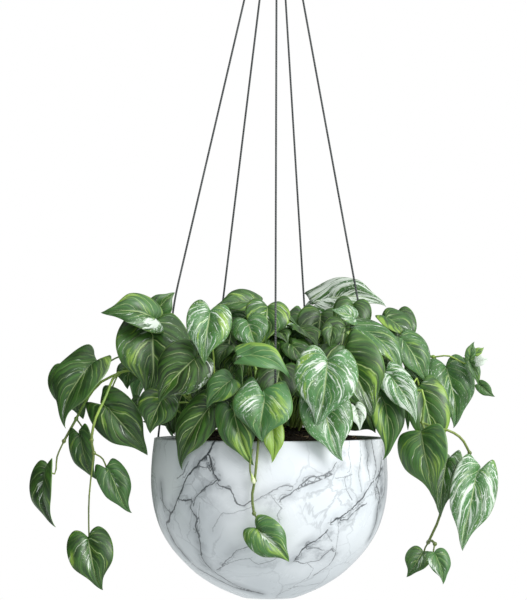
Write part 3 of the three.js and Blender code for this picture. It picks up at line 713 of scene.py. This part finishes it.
# How each leaf is marked. sheen amount, a painted sheen: 0 deep green to 1 silvery green, high on the lit
# front leaves, low as painted shade on shaded ones. lime, white: how streaked it is.
# marks: kind, side (-1 to 1, right of the midrib is positive on a leaf that hangs facing you), place along
# it, reach sideways, reach along, how much.
leafMarks = {
    "leaf_left_crest": {"sheenAmount": 0.35, "lime": 0.3, "white": 0.2, "marks": [
        ("white", 0.6, 0.3, 0.4, 0.22, 0.7), ("lime", -0.9, 0.5, 0.25, 0.4, 0.7)]},
    "leaf_left_large": {"sheenAmount": 0.12, "lime": 0.4, "white": 0.22,
                        "marks": [("lime", -0.6, 0.6, 0.3, 0.3, 0.3)]},
    "leaf_top_light": {"sheenAmount": 0.7, "lime": 0.45, "white": 0.45,
                       "marks": [("lime", 0.7, 0.4, 0.3, 0.3, 0.5)]},
    "leaf_top_left": {"sheenAmount": 0.2, "lime": 0.4, "white": 0.15},
    "leaf_top_marbled": {"sheenAmount": 0.65, "lime": 0.45, "white": 0.35},
    "leaf_top_yellow": {"sheenAmount": 0.25, "lime": 0.6, "white": 0.25},
    "leaf_back_shade": {"sheenAmount": 0.1, "lime": 0.15, "white": 0.05},
    "leaf_front_sprawl": {"sheenAmount": 0.8, "lime": 0.2, "white": 0.15, "marks": [
        ("lime", 0.85, 0.5, 0.3, 0.5, 0.9), ("white", -0.2, 0.12, 0.6, 0.12, 0.7)]},
    "leaf_curled": {"sheenAmount": 0.5, "lime": 0.3, "white": 0.15, "marks": [("lime", 0.9, 0.5, 0.2, 0.5, 0.6)]},
    "leaf_front_heart": {"sheenAmount": 0.75, "lime": 0.15, "white": 0.25, "marks": [
        ("white", -0.45, 0.4, 0.3, 0.3, 0.35), ("lime", 0.6, 0.4, 0.4, 0.4, 0.8),
        ("white", 0, 0.95, 0.4, 0.08, 0.5)]},
    "leaf_left_shade": {"sheenAmount": 0.0, "lime": 0.25, "white": 0.1,
                        "marks": [("white", 0.95, 0.42, 0.14, 0.25, 0.75)]},
    "leaf_left_brown": {"sheenAmount": 0.15, "lime": 0.4, "white": 0.05},
    "leaf_front_left_low": {"sheenAmount": 0.05, "lime": 0.2, "white": 0.1},
    "leaf_front_lime": {"sheenAmount": 0.3, "lime": 0.25, "white": 0.1,
                        "marks": [("lime", 0, 0.75, 0.9, 0.25, 0.9)]},
    "leaf_front_right_heart": {"sheenAmount": 0.9, "lime": 0.2, "white": 0.55,
                               "marks": [("lime", -0.8, 0.4, 0.2, 0.4, 0.7)]},
    "leaf_dark_heart": {"sheenAmount": 0.12, "lime": 0.25, "white": 0.1, "marks": [
        ("white", 0.1, 0.78, 0.7, 0.18, 0.6), ("lime", 0.6, 0.7, 0.4, 0.2, 0.5)]},
    "leaf_front_right_low": {"sheenAmount": 0.85, "lime": 0.25, "white": 0.5,
                             "marks": [("lime", 0.7, 0.2, 0.3, 0.18, 0.7)]},
    "leaf_front_hanging": {"sheenAmount": 0.5, "lime": 0.6, "white": 0.25, "marks": [
        ("white", 0.0, 0.45, 0.12, 0.3, 0.9), ("lime", -0.5, 0.7, 0.3, 0.2, 0.4)]},
    "leaf_right_slim": {"sheenAmount": 0.3, "lime": 0.1, "white": 0.1,
                        "marks": [("lime", -0.6, 0.5, 0.35, 0.5, 0.8)]},
    "leaf_right_striped": {"sheenAmount": 0.85, "lime": 0.2, "white": 0.65},
    "leaf_right_behind": {"sheenAmount": 0.2, "lime": 0.25, "white": 0.1,
                          "marks": [("lime", 0.9, 0.5, 0.2, 0.5, 0.9)]},
    "leaf_right_low": {"sheenAmount": 0.3, "lime": 0.55, "white": 0.12,
                       "marks": [("white", 0, 0.8, 0.5, 0.15, 0.3)]},
    "leaf_right_dark": {"sheenAmount": 0.2, "lime": 0.2, "white": 0.4},
    "leaf_right_far": {"sheenAmount": 0.8, "lime": 0.4, "white": 0.6},
    "leaf_right_twin_a": {"sheenAmount": 0.25, "lime": 0.35, "white": 0.2,
                          "marks": [("white", 0.4, 0.4, 0.3, 0.2, 0.5)]},
    "leaf_right_twin_b": {"sheenAmount": 0.5, "lime": 0.3, "white": 0.2,
                          "marks": [("white", -0.8, 0.6, 0.2, 0.3, 0.6)]},
    "leaf_right_outer": {"sheenAmount": 0.5, "lime": 0.2, "white": 0.4},
    "leaf_right_upper": {"sheenAmount": 0.4, "lime": 0.3, "white": 0.3},
    "leaf_right_rolled": {"sheenAmount": 0.45, "lime": 0.3, "white": 0.2},
    "leaf_right_crest": {"sheenAmount": 0.25, "lime": 0.4, "white": 0.2,
                         "marks": [("lime", -0.9, 0.5, 0.3, 0.5, 0.7)]},
    "leaf_arching": {"sheenAmount": 0.5, "lime": 0.25, "white": 0.35,
                     "marks": [("lime", -0.85, 0.5, 0.25, 0.5, 0.7)]},
    "leaf_top_right": {"sheenAmount": 0.45, "lime": 0.25, "white": 0.75},
    "leaf_left_outer": {"sheenAmount": 0.15, "lime": 0.35, "white": 0.15, "marks": [
        ("white", 0, 0.3, 0.15, 0.12, 0.4), ("white", -0.1, 0.85, 0.2, 0.1, 0.5)]},
    "leaf_left_fork": {"sheenAmount": 0.12, "lime": 0.28, "white": 0.12},
    "leaf_left_low": {"sheenAmount": 0.2, "lime": 0.2, "white": 0.08,
                      "marks": [("lime", -0.6, 0.5, 0.35, 0.3, 0.4)]},
    "leaf_left_end": {"sheenAmount": 0.12, "lime": 0.15, "white": 0.08,
                      "marks": [("white", -0.2, 0.5, 0.1, 0.3, 0.7)]},
    "leaf_left_hang": {"sheenAmount": 0.4, "lime": 0.2, "white": 0.1,
                       "marks": [("white", 0.1, 0.4, 0.1, 0.25, 0.7)]},
    "leaf_left_lowest": {"sheenAmount": 0.15, "lime": 0.3, "white": 0.1, "marks": [
        ("white", -0.25, 0.45, 0.16, 0.22, 0.6), ("lime", -0.9, 0.4, 0.2, 0.4, 0.5)]},
}


def growthOf(node):  # the rails of a plain blade: margin, rib, margin, base to tip
    shape = bmesh.new()
    shape.from_mesh(node.data)
    bmesh.ops.remove_doubles(shape, verts=shape.verts, dist=1e-5)
    middle = sum((v.co for v in shape.verts), Vector()) / len(shape.verts)
    ends = sorted((v for v in shape.verts if len(v.link_edges) == 4), key=lambda v: (v.co - middle).length)
    rings, seen = [[ends[0]]], {ends[0]}
    while len(seen) < len(shape.verts):
        ring = {e.other_vert(v) for v in rings[-1] for e in v.link_edges} - seen
        seen |= ring
        rings.append(list(ring))
    base, tip = ends[0].co.copy(), rings[-1][0].co.copy()
    pairs = []
    for ring in rings[1:-1]:
        spread = max(((a, b) for a in ring for b in ring),
                     key=lambda pair: (pair[0].co - pair[1].co).length)
        rib = sum((v.co for v in ring if v not in spread), Vector()) / 2
        pairs.append((spread[0].co.copy(), rib, spread[1].co.copy()))
    shape.free()
    wide = max(pairs, key=lambda row: (row[0] - row[2]).length)
    along = (tip - base).normalized()
    up = (wide[0] + wide[2]) / 2 - wide[1]
    across = along.cross(up - along * up.dot(along)).normalized()
    rows = []
    for left, rib, right in pairs:
        if (right - left).dot(across) < 0:
            left, right = right, left
        rows.append((left, rib, right))
    return [(base, base, base)] + rows + [(tip, tip, tip)]


# rails for a leaf set out one by one
def growthFrom(base, tip, width, faces, fold=blade["fold"], arch=blade["arch"], lobe=1.0):
    base, tip = spot(*base), spot(*tip)
    side, up = math.radians(faces[0]), math.radians(faces[1])
    along = (tip - base).normalized()
    look = Vector((math.sin(side) * math.cos(up), -math.cos(side) * math.cos(up), math.sin(up)))
    out = (look - along * look.dot(along)).normalized()
    across = along.cross(out)
    long, lean = (tip - base).length, math.radians(fold)

    def bow(y):
        return 4 * arch * y * (1 - y / long) * (0.4 if y < 0 else 1)

    rows = []
    for rib, margin, share in outlineShares:
        y = margin * long * (lobe if margin < 0 else 1)
        reach = share * width / 2 * mm
        edge = along * y + out * (bow(y) + reach * math.sin(lean))
        middle = base + along * (rib * long) + out * bow(rib * long)
        rows.append((base + edge - across * reach * math.cos(lean), middle,
                     base + edge + across * reach * math.cos(lean)))
    return rows


def paintAmounts(marks, side, along):
    amounts = {"sheenAmount": marks["sheenAmount"], "lime": marks["lime"], "white": marks["white"]}
    for kind, s, a, sideReach, alongReach, much in marks.get("marks", ()):
        near = ((side - s) / sideReach) ** 2 + ((along - a) / alongReach) ** 2
        amounts[kind] += much * math.exp(-near)
    return amounts


# a flat grid drawn over the rails, then cupped, quilted and waved
def raiseBlade(rows, marks, seed, detail=1.0):
    chance = random.Random(seed)
    sheet = bmesh.new()
    sheet.loops.layers.uv.new("leaf")
    amountLayers = {k: sheet.verts.layers.float.new(k) for k in ("sheenAmount", "lime", "white", "seed")}
    bmesh.ops.create_grid(sheet, x_segments=int(blade["across"] * detail),
                          y_segments=int(blade["along"] * detail),
                          size=0.5, calc_uvs=True)
    long = (rows[-1][1] - rows[0][1]).length
    along = (rows[-1][1] - rows[0][1]).normalized()
    wide = max(rows, key=lambda row: (row[0] - row[2]).length)
    half = (wide[0] - wide[2]).length / 2
    across = (wide[2] - wide[0]).normalized()
    out = across.cross(along).normalized()
    if ((wide[0] + wide[2]) / 2 - wide[1]).dot(out) < 0:
        out = -out
    lefts, ribs, rights = ([row[k] for row in rows] for k in range(3))
    phase = [chance.uniform(0, math.tau) for k in range(6)]
    waves = chance.choice((1.5, 2, 2.5, 3))
    cup, curl = blade["bulge"] * chance.uniform(0.7, 1.2), blade["curl"] * chance.uniform(0.2, 1.5)
    lean = [chance.uniform(-0.06, 0.06) for k in range(2)]
    bend = chance.choice((-1, 1)) * chance.uniform(0.2, 0.9)
    last = len(rows) - 1
    for v in sheet.verts:
        u, t = max(-1, min(1, v.co.x * 2)), max(0, min(1, v.co.y + 0.5)) * last
        share = t / last
        reach = abs(u)
        rib = throughPoints(ribs, t)
        edge = throughPoints(rights if u > 0 else lefts, t)
        # drawn-out tip
        edge = rib.lerp(edge, 1 - blade["drip"] * math.sin(math.pi * max(0, share - 0.58) / 0.42) ** 2)
        stretch = (edge - rib).length / max(half, 1e-6)
        place = rib.lerp(edge, reach)
        rise = cup * half * stretch * (math.sin(math.pi * min(1, reach) ** 0.85) - 0.55 * reach ** 3)
        # side veins sweep to the tip
        between = (share - blade["sweep"] * reach ** 0.9) * blade["veins"] + 0.5
        rise += (blade["quilt"] * mm * (abs(math.sin(math.pi * between)) - 0.5)
                 * math.sin(math.pi * reach ** 0.8) * stretch)
        side = 3 if u > 0 else 0
        rise += (blade["wave"] * mm * reach ** 3 * stretch
                 * math.sin(waves * math.tau * share + phase[side]) * half / 0.024)
        rise -= curl * long * max(0, share - 0.62) ** 2 * 3.2
        rise += (lean[0] if u > 0 else lean[1]) * half * reach * stretch
        v.co = place + out * rise + across * (bend * long * max(0, share - 0.6) ** 2)
        amounts = paintAmounts(marks, -u, share)
        for key, amount in amounts.items():
            v[amountLayers[key]] = amount
        v[amountLayers["seed"]] = seed % 97 + (3.7 if u > 0 else 0)
    bmesh.ops.remove_doubles(sheet, verts=sheet.verts, dist=2e-6)
    return sheet


def thicken(piece):
    skin = piece.modifiers.new("thickness", "SOLIDIFY")
    skin.thickness, skin.offset = blade["thick"] * mm, 0
    skin.material_offset, skin.material_offset_rim = 1, 1


def bladeFinish(name, shades, roughness):  # variegated leaf skin, streaks following the side veins
    finish, tree, shader = newFinish(name,
                                     {"Specular IOR Level": 0.5, "Coat Weight": 0.12,
                                      "Coat Roughness": 0.3})
    uv = addNode(tree, "UVMap", {"uv_map": "leaf"})
    split = addNode(tree, "SeparateXYZ", {}, {"Vector": uv})
    side = minus(tree, times(tree, split.outputs["X"], 2), 1)
    reach = sums(tree, "ABSOLUTE", side)
    along = split.outputs["Y"]
    amounts = {k: addNode(tree, "Attribute", {"attribute_name": k}).outputs["Fac"] for k in ("sheenAmount", "lime",
        "white", "seed")}
    offset = times(tree, amounts["seed"], 5.13)
    loose = addNode(tree, "CombineXYZ", {}, {"X": times(tree, reach, 2.2), "Y": times(tree, along, 5),
                                             "Z": offset})
    wander = addNode(tree, "TexNoise", {"Scale": 1.0, "Detail": 4}, {"Vector": loose})
    swept = times(tree, sums(tree, "POWER", reach, 0.9), blade["sweep"])
    lane = plus(tree, minus(tree, along, swept),
                times(tree, minus(tree, wander, 0.5), 0.13))

    def streaks(across, down, shift, detail):  # noise drawn out along the side veins
        at = addNode(tree, "CombineXYZ", {}, {"X": times(tree, reach, across),
                                              "Y": times(tree, lane, down),
                                              "Z": plus(tree, offset, shift)})
        return addNode(tree, "TexNoise", {"Scale": 1.0, "Detail": detail, "Roughness": 0.6}, {"Vector": at})

    broad, brush = streaks(1.4, 8, 0, 2), streaks(2.6, 44, 9, 3)
    yellow, soft = streaks(1.2, 7, 17, 2), streaks(2.0, 26, 23, 2)
    deep, fine = streaks(1.5, 14, 41, 3), streaks(3, 120, 5, 1)

    beat = plus(tree, times(tree, lane, blade["veins"]), 40)
    vein = ramp(tree, sums(tree, "ABSOLUTE", minus(tree, sums(tree, "FRACT", beat), 0.5)), 0.015, 0.075, 1,
                0)
    vein = times(tree, vein, ramp(tree, reach, 0.45, 0.95, 1, 0))
    vein = times(tree, vein, ramp(tree, along, 0.78, 0.9, 1, 0))

    def patches(wide, thin, share, amount, high, drop, crisp):
        level = plus(tree, times(tree, wide, 1 - share), times(tree, thin, share))
        level = plus(tree, level, times(tree, amount, drop))
        level = plus(tree, level, times(tree, vein, 0.05))
        return ramp(tree, level, high, high + crisp)

    # white streaks: the leaf's own variegation, also standing in for painted sheen spots
    whiteStreaksAndSheen = patches(broad, brush, 0.5, amounts["white"], 0.655, 0.25, 0.08)
    speckle = addNode(tree, "TexNoise", {"Scale": 7.0, "Detail": 4, "Roughness": 0.7}, {"Vector": loose})
    flecks = plus(tree, speckle, times(tree, amounts["white"], 0.13))
    flecks = ramp(tree, plus(tree, flecks, times(tree, reach, 0.05)), 0.68, 0.74)
    whiteStreaksAndSheen = sums(tree, "MAXIMUM", whiteStreaksAndSheen,
                  times(tree, flecks, ramp(tree, amounts["white"], 0.1, 0.45, 0, 0.8)))
    limes = patches(yellow, soft, 0.35, amounts["lime"], 0.65, 0.25, 0.14)
    rib = ramp(tree, reach, 0.008, 0.038, 1, 0)
    field = ramp(tree, deep, 0.36, 0.66)
    green = blendColours(tree, shades["deep"], shades["mid"], field)
    # painted sheen: each leaf's sheen amount pulls the green towards a silvery teal
    green = blendColours(tree, green, shades["paintedSheen"],
                         times(tree, amounts["sheenAmount"], ramp(tree, wander, 0.25, 0.65, 0.35, 1.0),
                               clamp=True))
    green = blendColours(tree, green, shades["olive"], times(tree, ramp(tree, fine, 0.45, 0.7), 0.3))
    green = blendColours(tree, green, shades["lime"], times(tree, limes, 0.8))
    green = blendColours(tree, green, shades["vein"],
                         times(tree, vein, ramp(tree, yellow, 0.35, 0.65, 0.08, 0.75)))
    green = blendColours(tree, green, shades["white"], times(tree, whiteStreaksAndSheen, 0.85))
    green = blendColours(tree, green, shades["vein"], times(tree, rib, 0.75))
    green = blendColours(tree, green, shades["edge"], ramp(tree, reach, 0.955, 0.995, 0, 0.5))
    feed(tree, green, shader.inputs["Base Color"])
    feed(tree, plus(tree, ramp(tree, brush, 0.3, 0.7, roughness, roughness + 0.1),
                    times(tree, whiteStreaksAndSheen, 0.06)), shader.inputs["Roughness"])
    height = minus(tree, times(tree, fine, 0.35), plus(tree, vein, times(tree, rib, 1.4)))
    feed(tree, addNode(tree, "Bump", {"Strength": 0.5, "Distance": 0.00035}, {"Height": height}),
         shader.inputs["Normal"])
    return finish


# In both skins the silvery green stands for a painted sheen.
upperSkin = bladeFinish("leaf skin, upper, waxy and variegated", {
    "deep": "#132a09", "mid": "#3f6a22", "paintedSheen": "#578e52", "olive": "#58701f", "vein": "#b6cc88",
    "lime": "#93b743",
    "white": "#e8f1e4", "edge": "#86ab5a"}, 0.36)
lowerSkin = bladeFinish("leaf skin, underside, paler and matt", {
    "deep": "#426a38", "mid": "#5b8a4a", "paintedSheen": "#7aa677", "olive": "#6b8a4c", "vein": "#b5c98f",
    "lime": "#a9c56f",
    "white": "#d9e4cc", "edge": "#86ab5a"}, 0.55)

# Leaves with no solid of their own: base and tip, width, where the face looks (right, up), marks.
spareLeaves = [
    ((-116, -8, 124), (-96, -6, 147), 26, (15, 10), {"sheenAmount": 0.3, "lime": 0.4, "white": 0.1}),
    ((84, -50, 120), (62, -56, 128), 24, (0, 40), {"sheenAmount": 0.8, "lime": 0.5, "white": 0.5}),
    ((92, 4, 122), (128, -10, 108), 34, (10, 40), {"sheenAmount": 0.3, "lime": 0.3, "white": 0.2}),
    ((140, -34, 84), (154, -40, 51), 26, (20, 5), {"sheenAmount": 0.6, "lime": 0.5, "white": 0.4}),
    ((199, -30, 80), (202, -28, 97), 11, (0, 5), {"sheenAmount": 0.5, "lime": 0.5, "white": 0.2}),
    ((209, -32, 54), (223, -34, 41), 13, (0, 5), {"sheenAmount": 0.3, "lime": 0.2, "white": 0.1}),
    ((204, -26, 85), (214, -24, 90), 8, (0, 5), {"sheenAmount": 0.5, "lime": 0.9, "white": 0.2}),
    ((206, -28, 76), (218, -30, 79), 12, (0, 30), {"sheenAmount": 0.9, "lime": 0.2, "white": 2.2}),
    ((3, -117, 16), (5, -123, -20), 22, (4, 8), {"sheenAmount": 0.4, "lime": 1.3, "white": 0.2}),
    ((-199, -20, 70), (-184, -26, 20), 50, (-20, 5), {"sheenAmount": 0.15, "lime": 0.3, "white": 0.1}),
    ((-138, -22, 72), (-143, -28, 50), 26, (-10, 5), {"sheenAmount": 0.2, "lime": 0.3, "white": 0.1}),
    ((-128, -26, 40), (-133, -30, 25), 16, (-10, 5), {"sheenAmount": 0.15, "lime": 0.2, "white": 0.05}),
    ((62, -78, 112), (58, -86, 92), 20, (0, 15), {"sheenAmount": 0.1, "lime": 0.2, "white": 0.1}),
    ((84, -98, 34), (90, -104, 11), 18, (10, 5), {"sheenAmount": 0.5, "lime": 0.2, "white": 0.9}),
    ((52, 34, 124), (46, 26, 78), 48, (0, 5), {"sheenAmount": 0.05, "lime": 0.3, "white": 0.1}),
    ((76, -8, 112), (66, -20, 66), 46, (5, 5), {"sheenAmount": 0.05, "lime": 0.2, "white": 0.1}),
    ((-38, -14, 106), (-46, -28, 56), 48, (-5, 8), {"sheenAmount": 0.05, "lime": 0.2, "white": 0.1}),
    ((-84, -22, 52), (-97, -34, 6), 40, (-15, 5), {"sheenAmount": 0.05, "lime": 0.2, "white": 0.1}),
    ((20, -36, 92), (24, -52, 44), 48, (4, 8), {"sheenAmount": 0.05, "lime": 0.2, "white": 0.05}),
    ((10, -64, 70), (2, -84, 22), 44, (0, 8), {"sheenAmount": 0.0, "lime": 0.2, "white": 0.05}),
    ((100, -20, 74), (108, -30, 22), 46, (12, 5), {"sheenAmount": 0.1, "lime": 0.3, "white": 0.1}),
    ((-40, 22, 86), (-35, 14, 36), 50, (-6, 6), {"sheenAmount": 0.0, "lime": 0.2, "white": 0.05}),
    ((30, 22, 62), (30, 14, 9), 46, (4, 6), {"sheenAmount": 0.0, "lime": 0.2, "white": 0.05}),
    ((-58, 18, 58), (-53, 12, 12), 46, (-6, 6), {"sheenAmount": 0.0, "lime": 0.2, "white": 0.05}),
    ((2, 28, 64), (0, 20, 13), 48, (0, 6), {"sheenAmount": 0.0, "lime": 0.2, "white": 0.0}),
    ((84, 14, 134), (78, 4, 94), 40, (6, 10), {"sheenAmount": 0.1, "lime": 0.3, "white": 0.1}),
    ((128, 12, 124), (134, 4, 84), 36, (10, 8), {"sheenAmount": 0.1, "lime": 0.3, "white": 0.2}),
    ((96, 6, 54), (102, -6, 5), 42, (8, 6), {"sheenAmount": 0.1, "lime": 0.3, "white": 0.2}),
    ((-96, 8, 58), (-101, -4, 4), 42, (-8, 6), {"sheenAmount": 0.05, "lime": 0.25, "white": 0.1}),
    ((147, -2, 74), (150, -10, 38), 28, (12, 6), {"sheenAmount": 0.2, "lime": 0.3, "white": 0.2}),
    ((-88, -6, 32), (-124, -14, 12), 34, (-8, 10), {"sheenAmount": 0.1, "lime": 0.4, "white": 0.1}),
    ((76, 10, 24), (108, 2, 9), 30, (8, 10), {"sheenAmount": 0.1, "lime": 0.3, "white": 0.2}),
    ((-90, 14, 42), (-96, 8, -1), 46, (-8, 6), {"sheenAmount": 0.0, "lime": 0.2, "white": 0.05}),
]
# Rings of leaves that fill the mound: how many, base radius and height, tip radius and height, width, how
# far up they look, and the bearings they cover (0 is the front).
moundRings = [
    {"many": 13, "base": (92, 56), "tip": (127, -4), "wide": 54, "up": 12, "from": 88, "to": 272},
    {"many": 15, "base": (80, 82), "tip": (122, 34), "wide": 52, "up": 24, "from": 80, "to": 282},
    {"many": 12, "base": (58, 100), "tip": (100, 68), "wide": 50, "up": 42, "from": 92, "to": 268},
    {"many": 16, "base": (66, 62), "tip": (92, 14), "wide": 50, "up": 14, "from": -86, "to": 86},
    {"many": 14, "base": (50, 88), "tip": (82, 48), "wide": 50, "up": 26, "from": -88, "to": 88},
    {"many": 9, "base": (32, 104), "tip": (64, 84), "wide": 46, "up": 50, "from": -80, "to": 80},
    {"many": 8, "base": (10, 112), "tip": (48, 106), "wide": 44, "up": 68, "from": 0, "to": 320},
    {"many": 15, "base": (58, 46), "tip": (72, 7), "wide": 42, "up": 6, "from": 90, "to": 270},
]


def treeOf(mesh):
    return BVHTree.FromPolygons([v.co for v in mesh.vertices], [tuple(p.vertices) for p in mesh.polygons])


def fence(line, wide):  # a thin cross-shaped strip round a cord, to keep leaves off it
    points, faces = [], []
    for a, b in zip(line, line[1:]):
        for off in (Vector((wide, 0, 0)), Vector((0, wide, 0))):
            start = len(points)
            points += [a - off, a + off, b + off, b - off]
            faces.append((start, start + 1, start + 2, start + 3))
    return BVHTree.FromPolygons(points, faces)


standing = [treeOf(node.data) for name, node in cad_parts.items()
            if name in ("pot", "soil") or name.startswith(("stem_", "vine_"))]
standing += [fence(cordLine(a, cordRun["leans"].get(n)), 2 * mm) for n, a in cordRun["places"].items()]


def meshOf(bm, name):
    mesh = bpy.data.meshes.new(name)
    bm.to_mesh(mesh)
    bm.free()
    return mesh


order = 0
for name, node in sorted(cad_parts.items()):
    if not name.startswith("leaf_"):
        continue
    order += 1
    chance = random.Random(name)
    plain = {"sheenAmount": chance.uniform(0.1, 0.7), "lime": chance.uniform(0.2, 0.5),
             "white": chance.uniform(0.1, 0.6)}
    mesh = meshOf(raiseBlade(growthOf(node), leafMarks.get(name, plain), order), name + "_blade")
    standing.append(treeOf(mesh))
    thicken(showMesh(name + "_blade", mesh, [upperSkin, lowerSkin], [name]))
print("leaves of the frame grown:", order)

stalks = []


def addStalk(rows):  # a leaf stalk, from the blade's base down into the mound
    base, along = rows[0][1], (rows[-1][1] - rows[0][1]).normalized()
    foot = rimCentre + Vector(((base.x - rimCentre.x) * 0.45, (base.y - rimCentre.y) * 0.45, 4 * mm))
    start = base.lerp(rows[1][1], 0.6)
    bend = base.lerp(foot, 0.3) - along * 6 * mm + Vector((0, 0, 7 * mm))
    stalks.append([quadratic(start, bend, foot, i / 12) for i in range(13)])


unmarked = {"sheenAmount": 0, "lime": 0, "white": 0}  # for trying a place before the real blade is grown
spares = bmesh.new()
for number, (base, tip, width, faces, marks) in enumerate(spareLeaves):
    for pushed in range(9):  # slid back a little until it touches nothing
        rows = growthFrom((base[0], base[1] + 3 * pushed, base[2]), (tip[0], tip[1] + 3 * pushed, tip[2]),
                          width, faces)
        rough = raiseBlade(rows, unmarked, 200 + number, 0.3)
        tree = BVHTree.FromBMesh(rough)
        rough.free()
        if not any(tree.overlap(other) for other in standing):
            break
    else:  # no room for it anywhere near
        continue
    mesh = meshOf(raiseBlade(rows, marks, 200 + number, 0.7), "spare")
    standing.append(treeOf(mesh))
    spares.from_mesh(mesh)
    bpy.data.meshes.remove(mesh)
    if abs(base[0]) < 130:
        addStalk(rows)
thicken(showPiece("spareLeaves", spares, [upperSkin, lowerSkin]))

chance = random.Random(21)
filled = 0
for number, ringOf in enumerate(moundRings):
    layer = bmesh.new()
    for k in range(ringOf["many"]):
        bearing = ringOf["from"] + (k + 0.5) * (ringOf["to"] - ringOf["from"]) / ringOf["many"]
        for attempt in range(22):
            turn = math.radians(bearing + chance.uniform(-9, 9))
            skew = turn + chance.uniform(-0.25, 0.25)
            size = chance.uniform(0.82, 1.12) * (1 - attempt * 0.025)
            shift = chance.uniform(-7, 5)
            r0, z0 = ringOf["base"][0] + shift, ringOf["base"][1] + chance.uniform(-6, 6)
            r1, z1 = ringOf["tip"][0] + shift, ringOf["tip"][1] + chance.uniform(-6, 6)
            base = Vector((r0 * math.sin(turn), -r0 * math.cos(turn), z0))
            tip = Vector((r1 * math.sin(skew), -r1 * math.cos(skew), z1))
            tip = base + (tip - base) * size
            look = (math.degrees(turn) + chance.uniform(-22, 22), ringOf["up"] + chance.uniform(-10, 10))
            rows = growthFrom(base, tip, ringOf["wide"] * size, look, chance.uniform(8, 24),
                              chance.uniform(0.05, 0.16),
                              chance.uniform(0.8, 1.6))
            rough = raiseBlade(rows, unmarked, number * 40 + k, 0.3)
            tree = BVHTree.FromBMesh(rough)
            rough.free()
            if any(tree.overlap(other) for other in standing):
                continue
            marks = {"sheenAmount": chance.uniform(0.05, 0.6), "lime": chance.uniform(0.15, 0.6),
                     "white": chance.uniform(0, 0.5)}
            if -90 < bearing < 90:  # inside the front of the mound little light gets in
                marks = {"sheenAmount": chance.uniform(0, 0.25), "lime": chance.uniform(0.1, 0.35),
                         "white": chance.uniform(0, 0.2)}
            mesh = meshOf(raiseBlade(rows, marks, number * 40 + k, 0.7), "filler")
            standing.append(treeOf(mesh))
            layer.from_mesh(mesh)
            bpy.data.meshes.remove(mesh)
            addStalk(rows)
            filled += 1
            break
    thicken(showPiece("moundLeaves%d" % (number + 1), layer, [upperSkin, lowerSkin]))
print("mound filled with", filled, "leaves")


def stemFinish():  # smooth green stem: lime and deeper green in patches, browner at the soil, faint lines
    finish, tree, shader = newFinish("green stem skin, fine ribs",
                                     {"Coat Weight": 0.1, "Coat Roughness": 0.3})
    place = addNode(tree, "TexCoord").outputs["Object"]
    tint = addNode(tree, "TexNoise", {"Scale": 22, "Detail": 2}, {"Vector": place})
    ribs = addNode(tree, "TexNoise", {"Scale": 900, "Detail": 2}, {"Vector": place})
    split = addNode(tree, "SeparateXYZ", {}, {"Vector": place})
    green = blendColours(tree, "#6d8f3c", "#a3bf55", ramp(tree, tint, 0.38, 0.62))
    green = blendColours(tree, green, "#5a5a30",
                         ramp(tree, split.outputs["Z"], rimCentre.z + 0.004, rimCentre.z + 0.03, 0.6, 0))
    green = blendColours(tree, green, "#dce6bd", ramp(tree, ribs, 0.62, 0.75, 0, 0.35))
    feed(tree, green, shader.inputs["Base Color"])
    feed(tree, ramp(tree, tint, 0.3, 0.7, 0.38, 0.5), shader.inputs["Roughness"])
    feed(tree, addNode(tree, "Bump", {"Strength": 0.3, "Distance": 0.0002}, {"Height": ribs}),
         shader.inputs["Normal"])
    return finish


def youngFinish():  # new growth: pale lime, waxy, a little translucent looking
    finish, tree, shader = newFinish("young sheath, pale lime", {"Roughness": 0.4, "Coat Weight": 0.15})
    place = addNode(tree, "TexCoord").outputs["Object"]
    tint = addNode(tree, "TexNoise", {"Scale": 300, "Detail": 3}, {"Vector": place})
    feed(tree, blendColours(tree, "#b9cf7c", "#e4ecc0", ramp(tree, tint, 0.4, 0.62)),
         shader.inputs["Base Color"])
    feed(tree, addNode(tree, "Bump", {"Strength": 0.3, "Distance": 0.0002}, {"Height": tint}),
         shader.inputs["Normal"])
    return finish


stemSkin = stemFinish()
for name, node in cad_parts.items():
    if not name.startswith(("stem_", "vine_")):
        continue
    node.data.materials.clear()
    node.data.materials.append(stemSkin)
    weld = node.modifiers.new("weld", "WELD")
    weld.merge_threshold = 0.00002
    skin = node.modifiers.new("skin", "REMESH")
    skin.mode, skin.voxel_size, skin.use_smooth_shade = "VOXEL", 0.00055, True
    ease = node.modifiers.new("ease", "SMOOTH")
    ease.factor, ease.iterations = 0.5, 3
openCurve("moundStalks", stalks, 0.95, stemSkin)
sheathSkin = youngFinish()
twin = [spot(*p) for p in ((-15, -123.4, -41), (-17.5, -123.6, -34), (-19, -123.2, -26),
                           (-18.5, -122.2, -17), (-16.5, -120.4, -7))]
openCurve("twinStem", [[throughPoints(twin, i / 5) for i in range(21)]], 0.9, stemSkin)
# A pale sheath at the node, swollen and then narrowing to a point.
sheath = turnedShape([(0, 0), (1.5, 0.3), (2.1, 1.8), (2.2, 3.4), (1.9, 5.4), (1.4, 7.6), (0.8, 9.6),
                      (0.3, 11),
                      (0, 11.4)], 20)
lie = (twin[2] - twin[0]).to_track_quat("Z", "Y").to_matrix()
bmesh.ops.rotate(sheath, verts=sheath.verts, cent=(0, 0, 0), matrix=lie)
bmesh.ops.translate(sheath, verts=sheath.verts, vec=twin[0] - Vector((0, 0.5, 0)) * mm)
showPiece("budSheath", sheath, [sheathSkin])
print("stems finished")
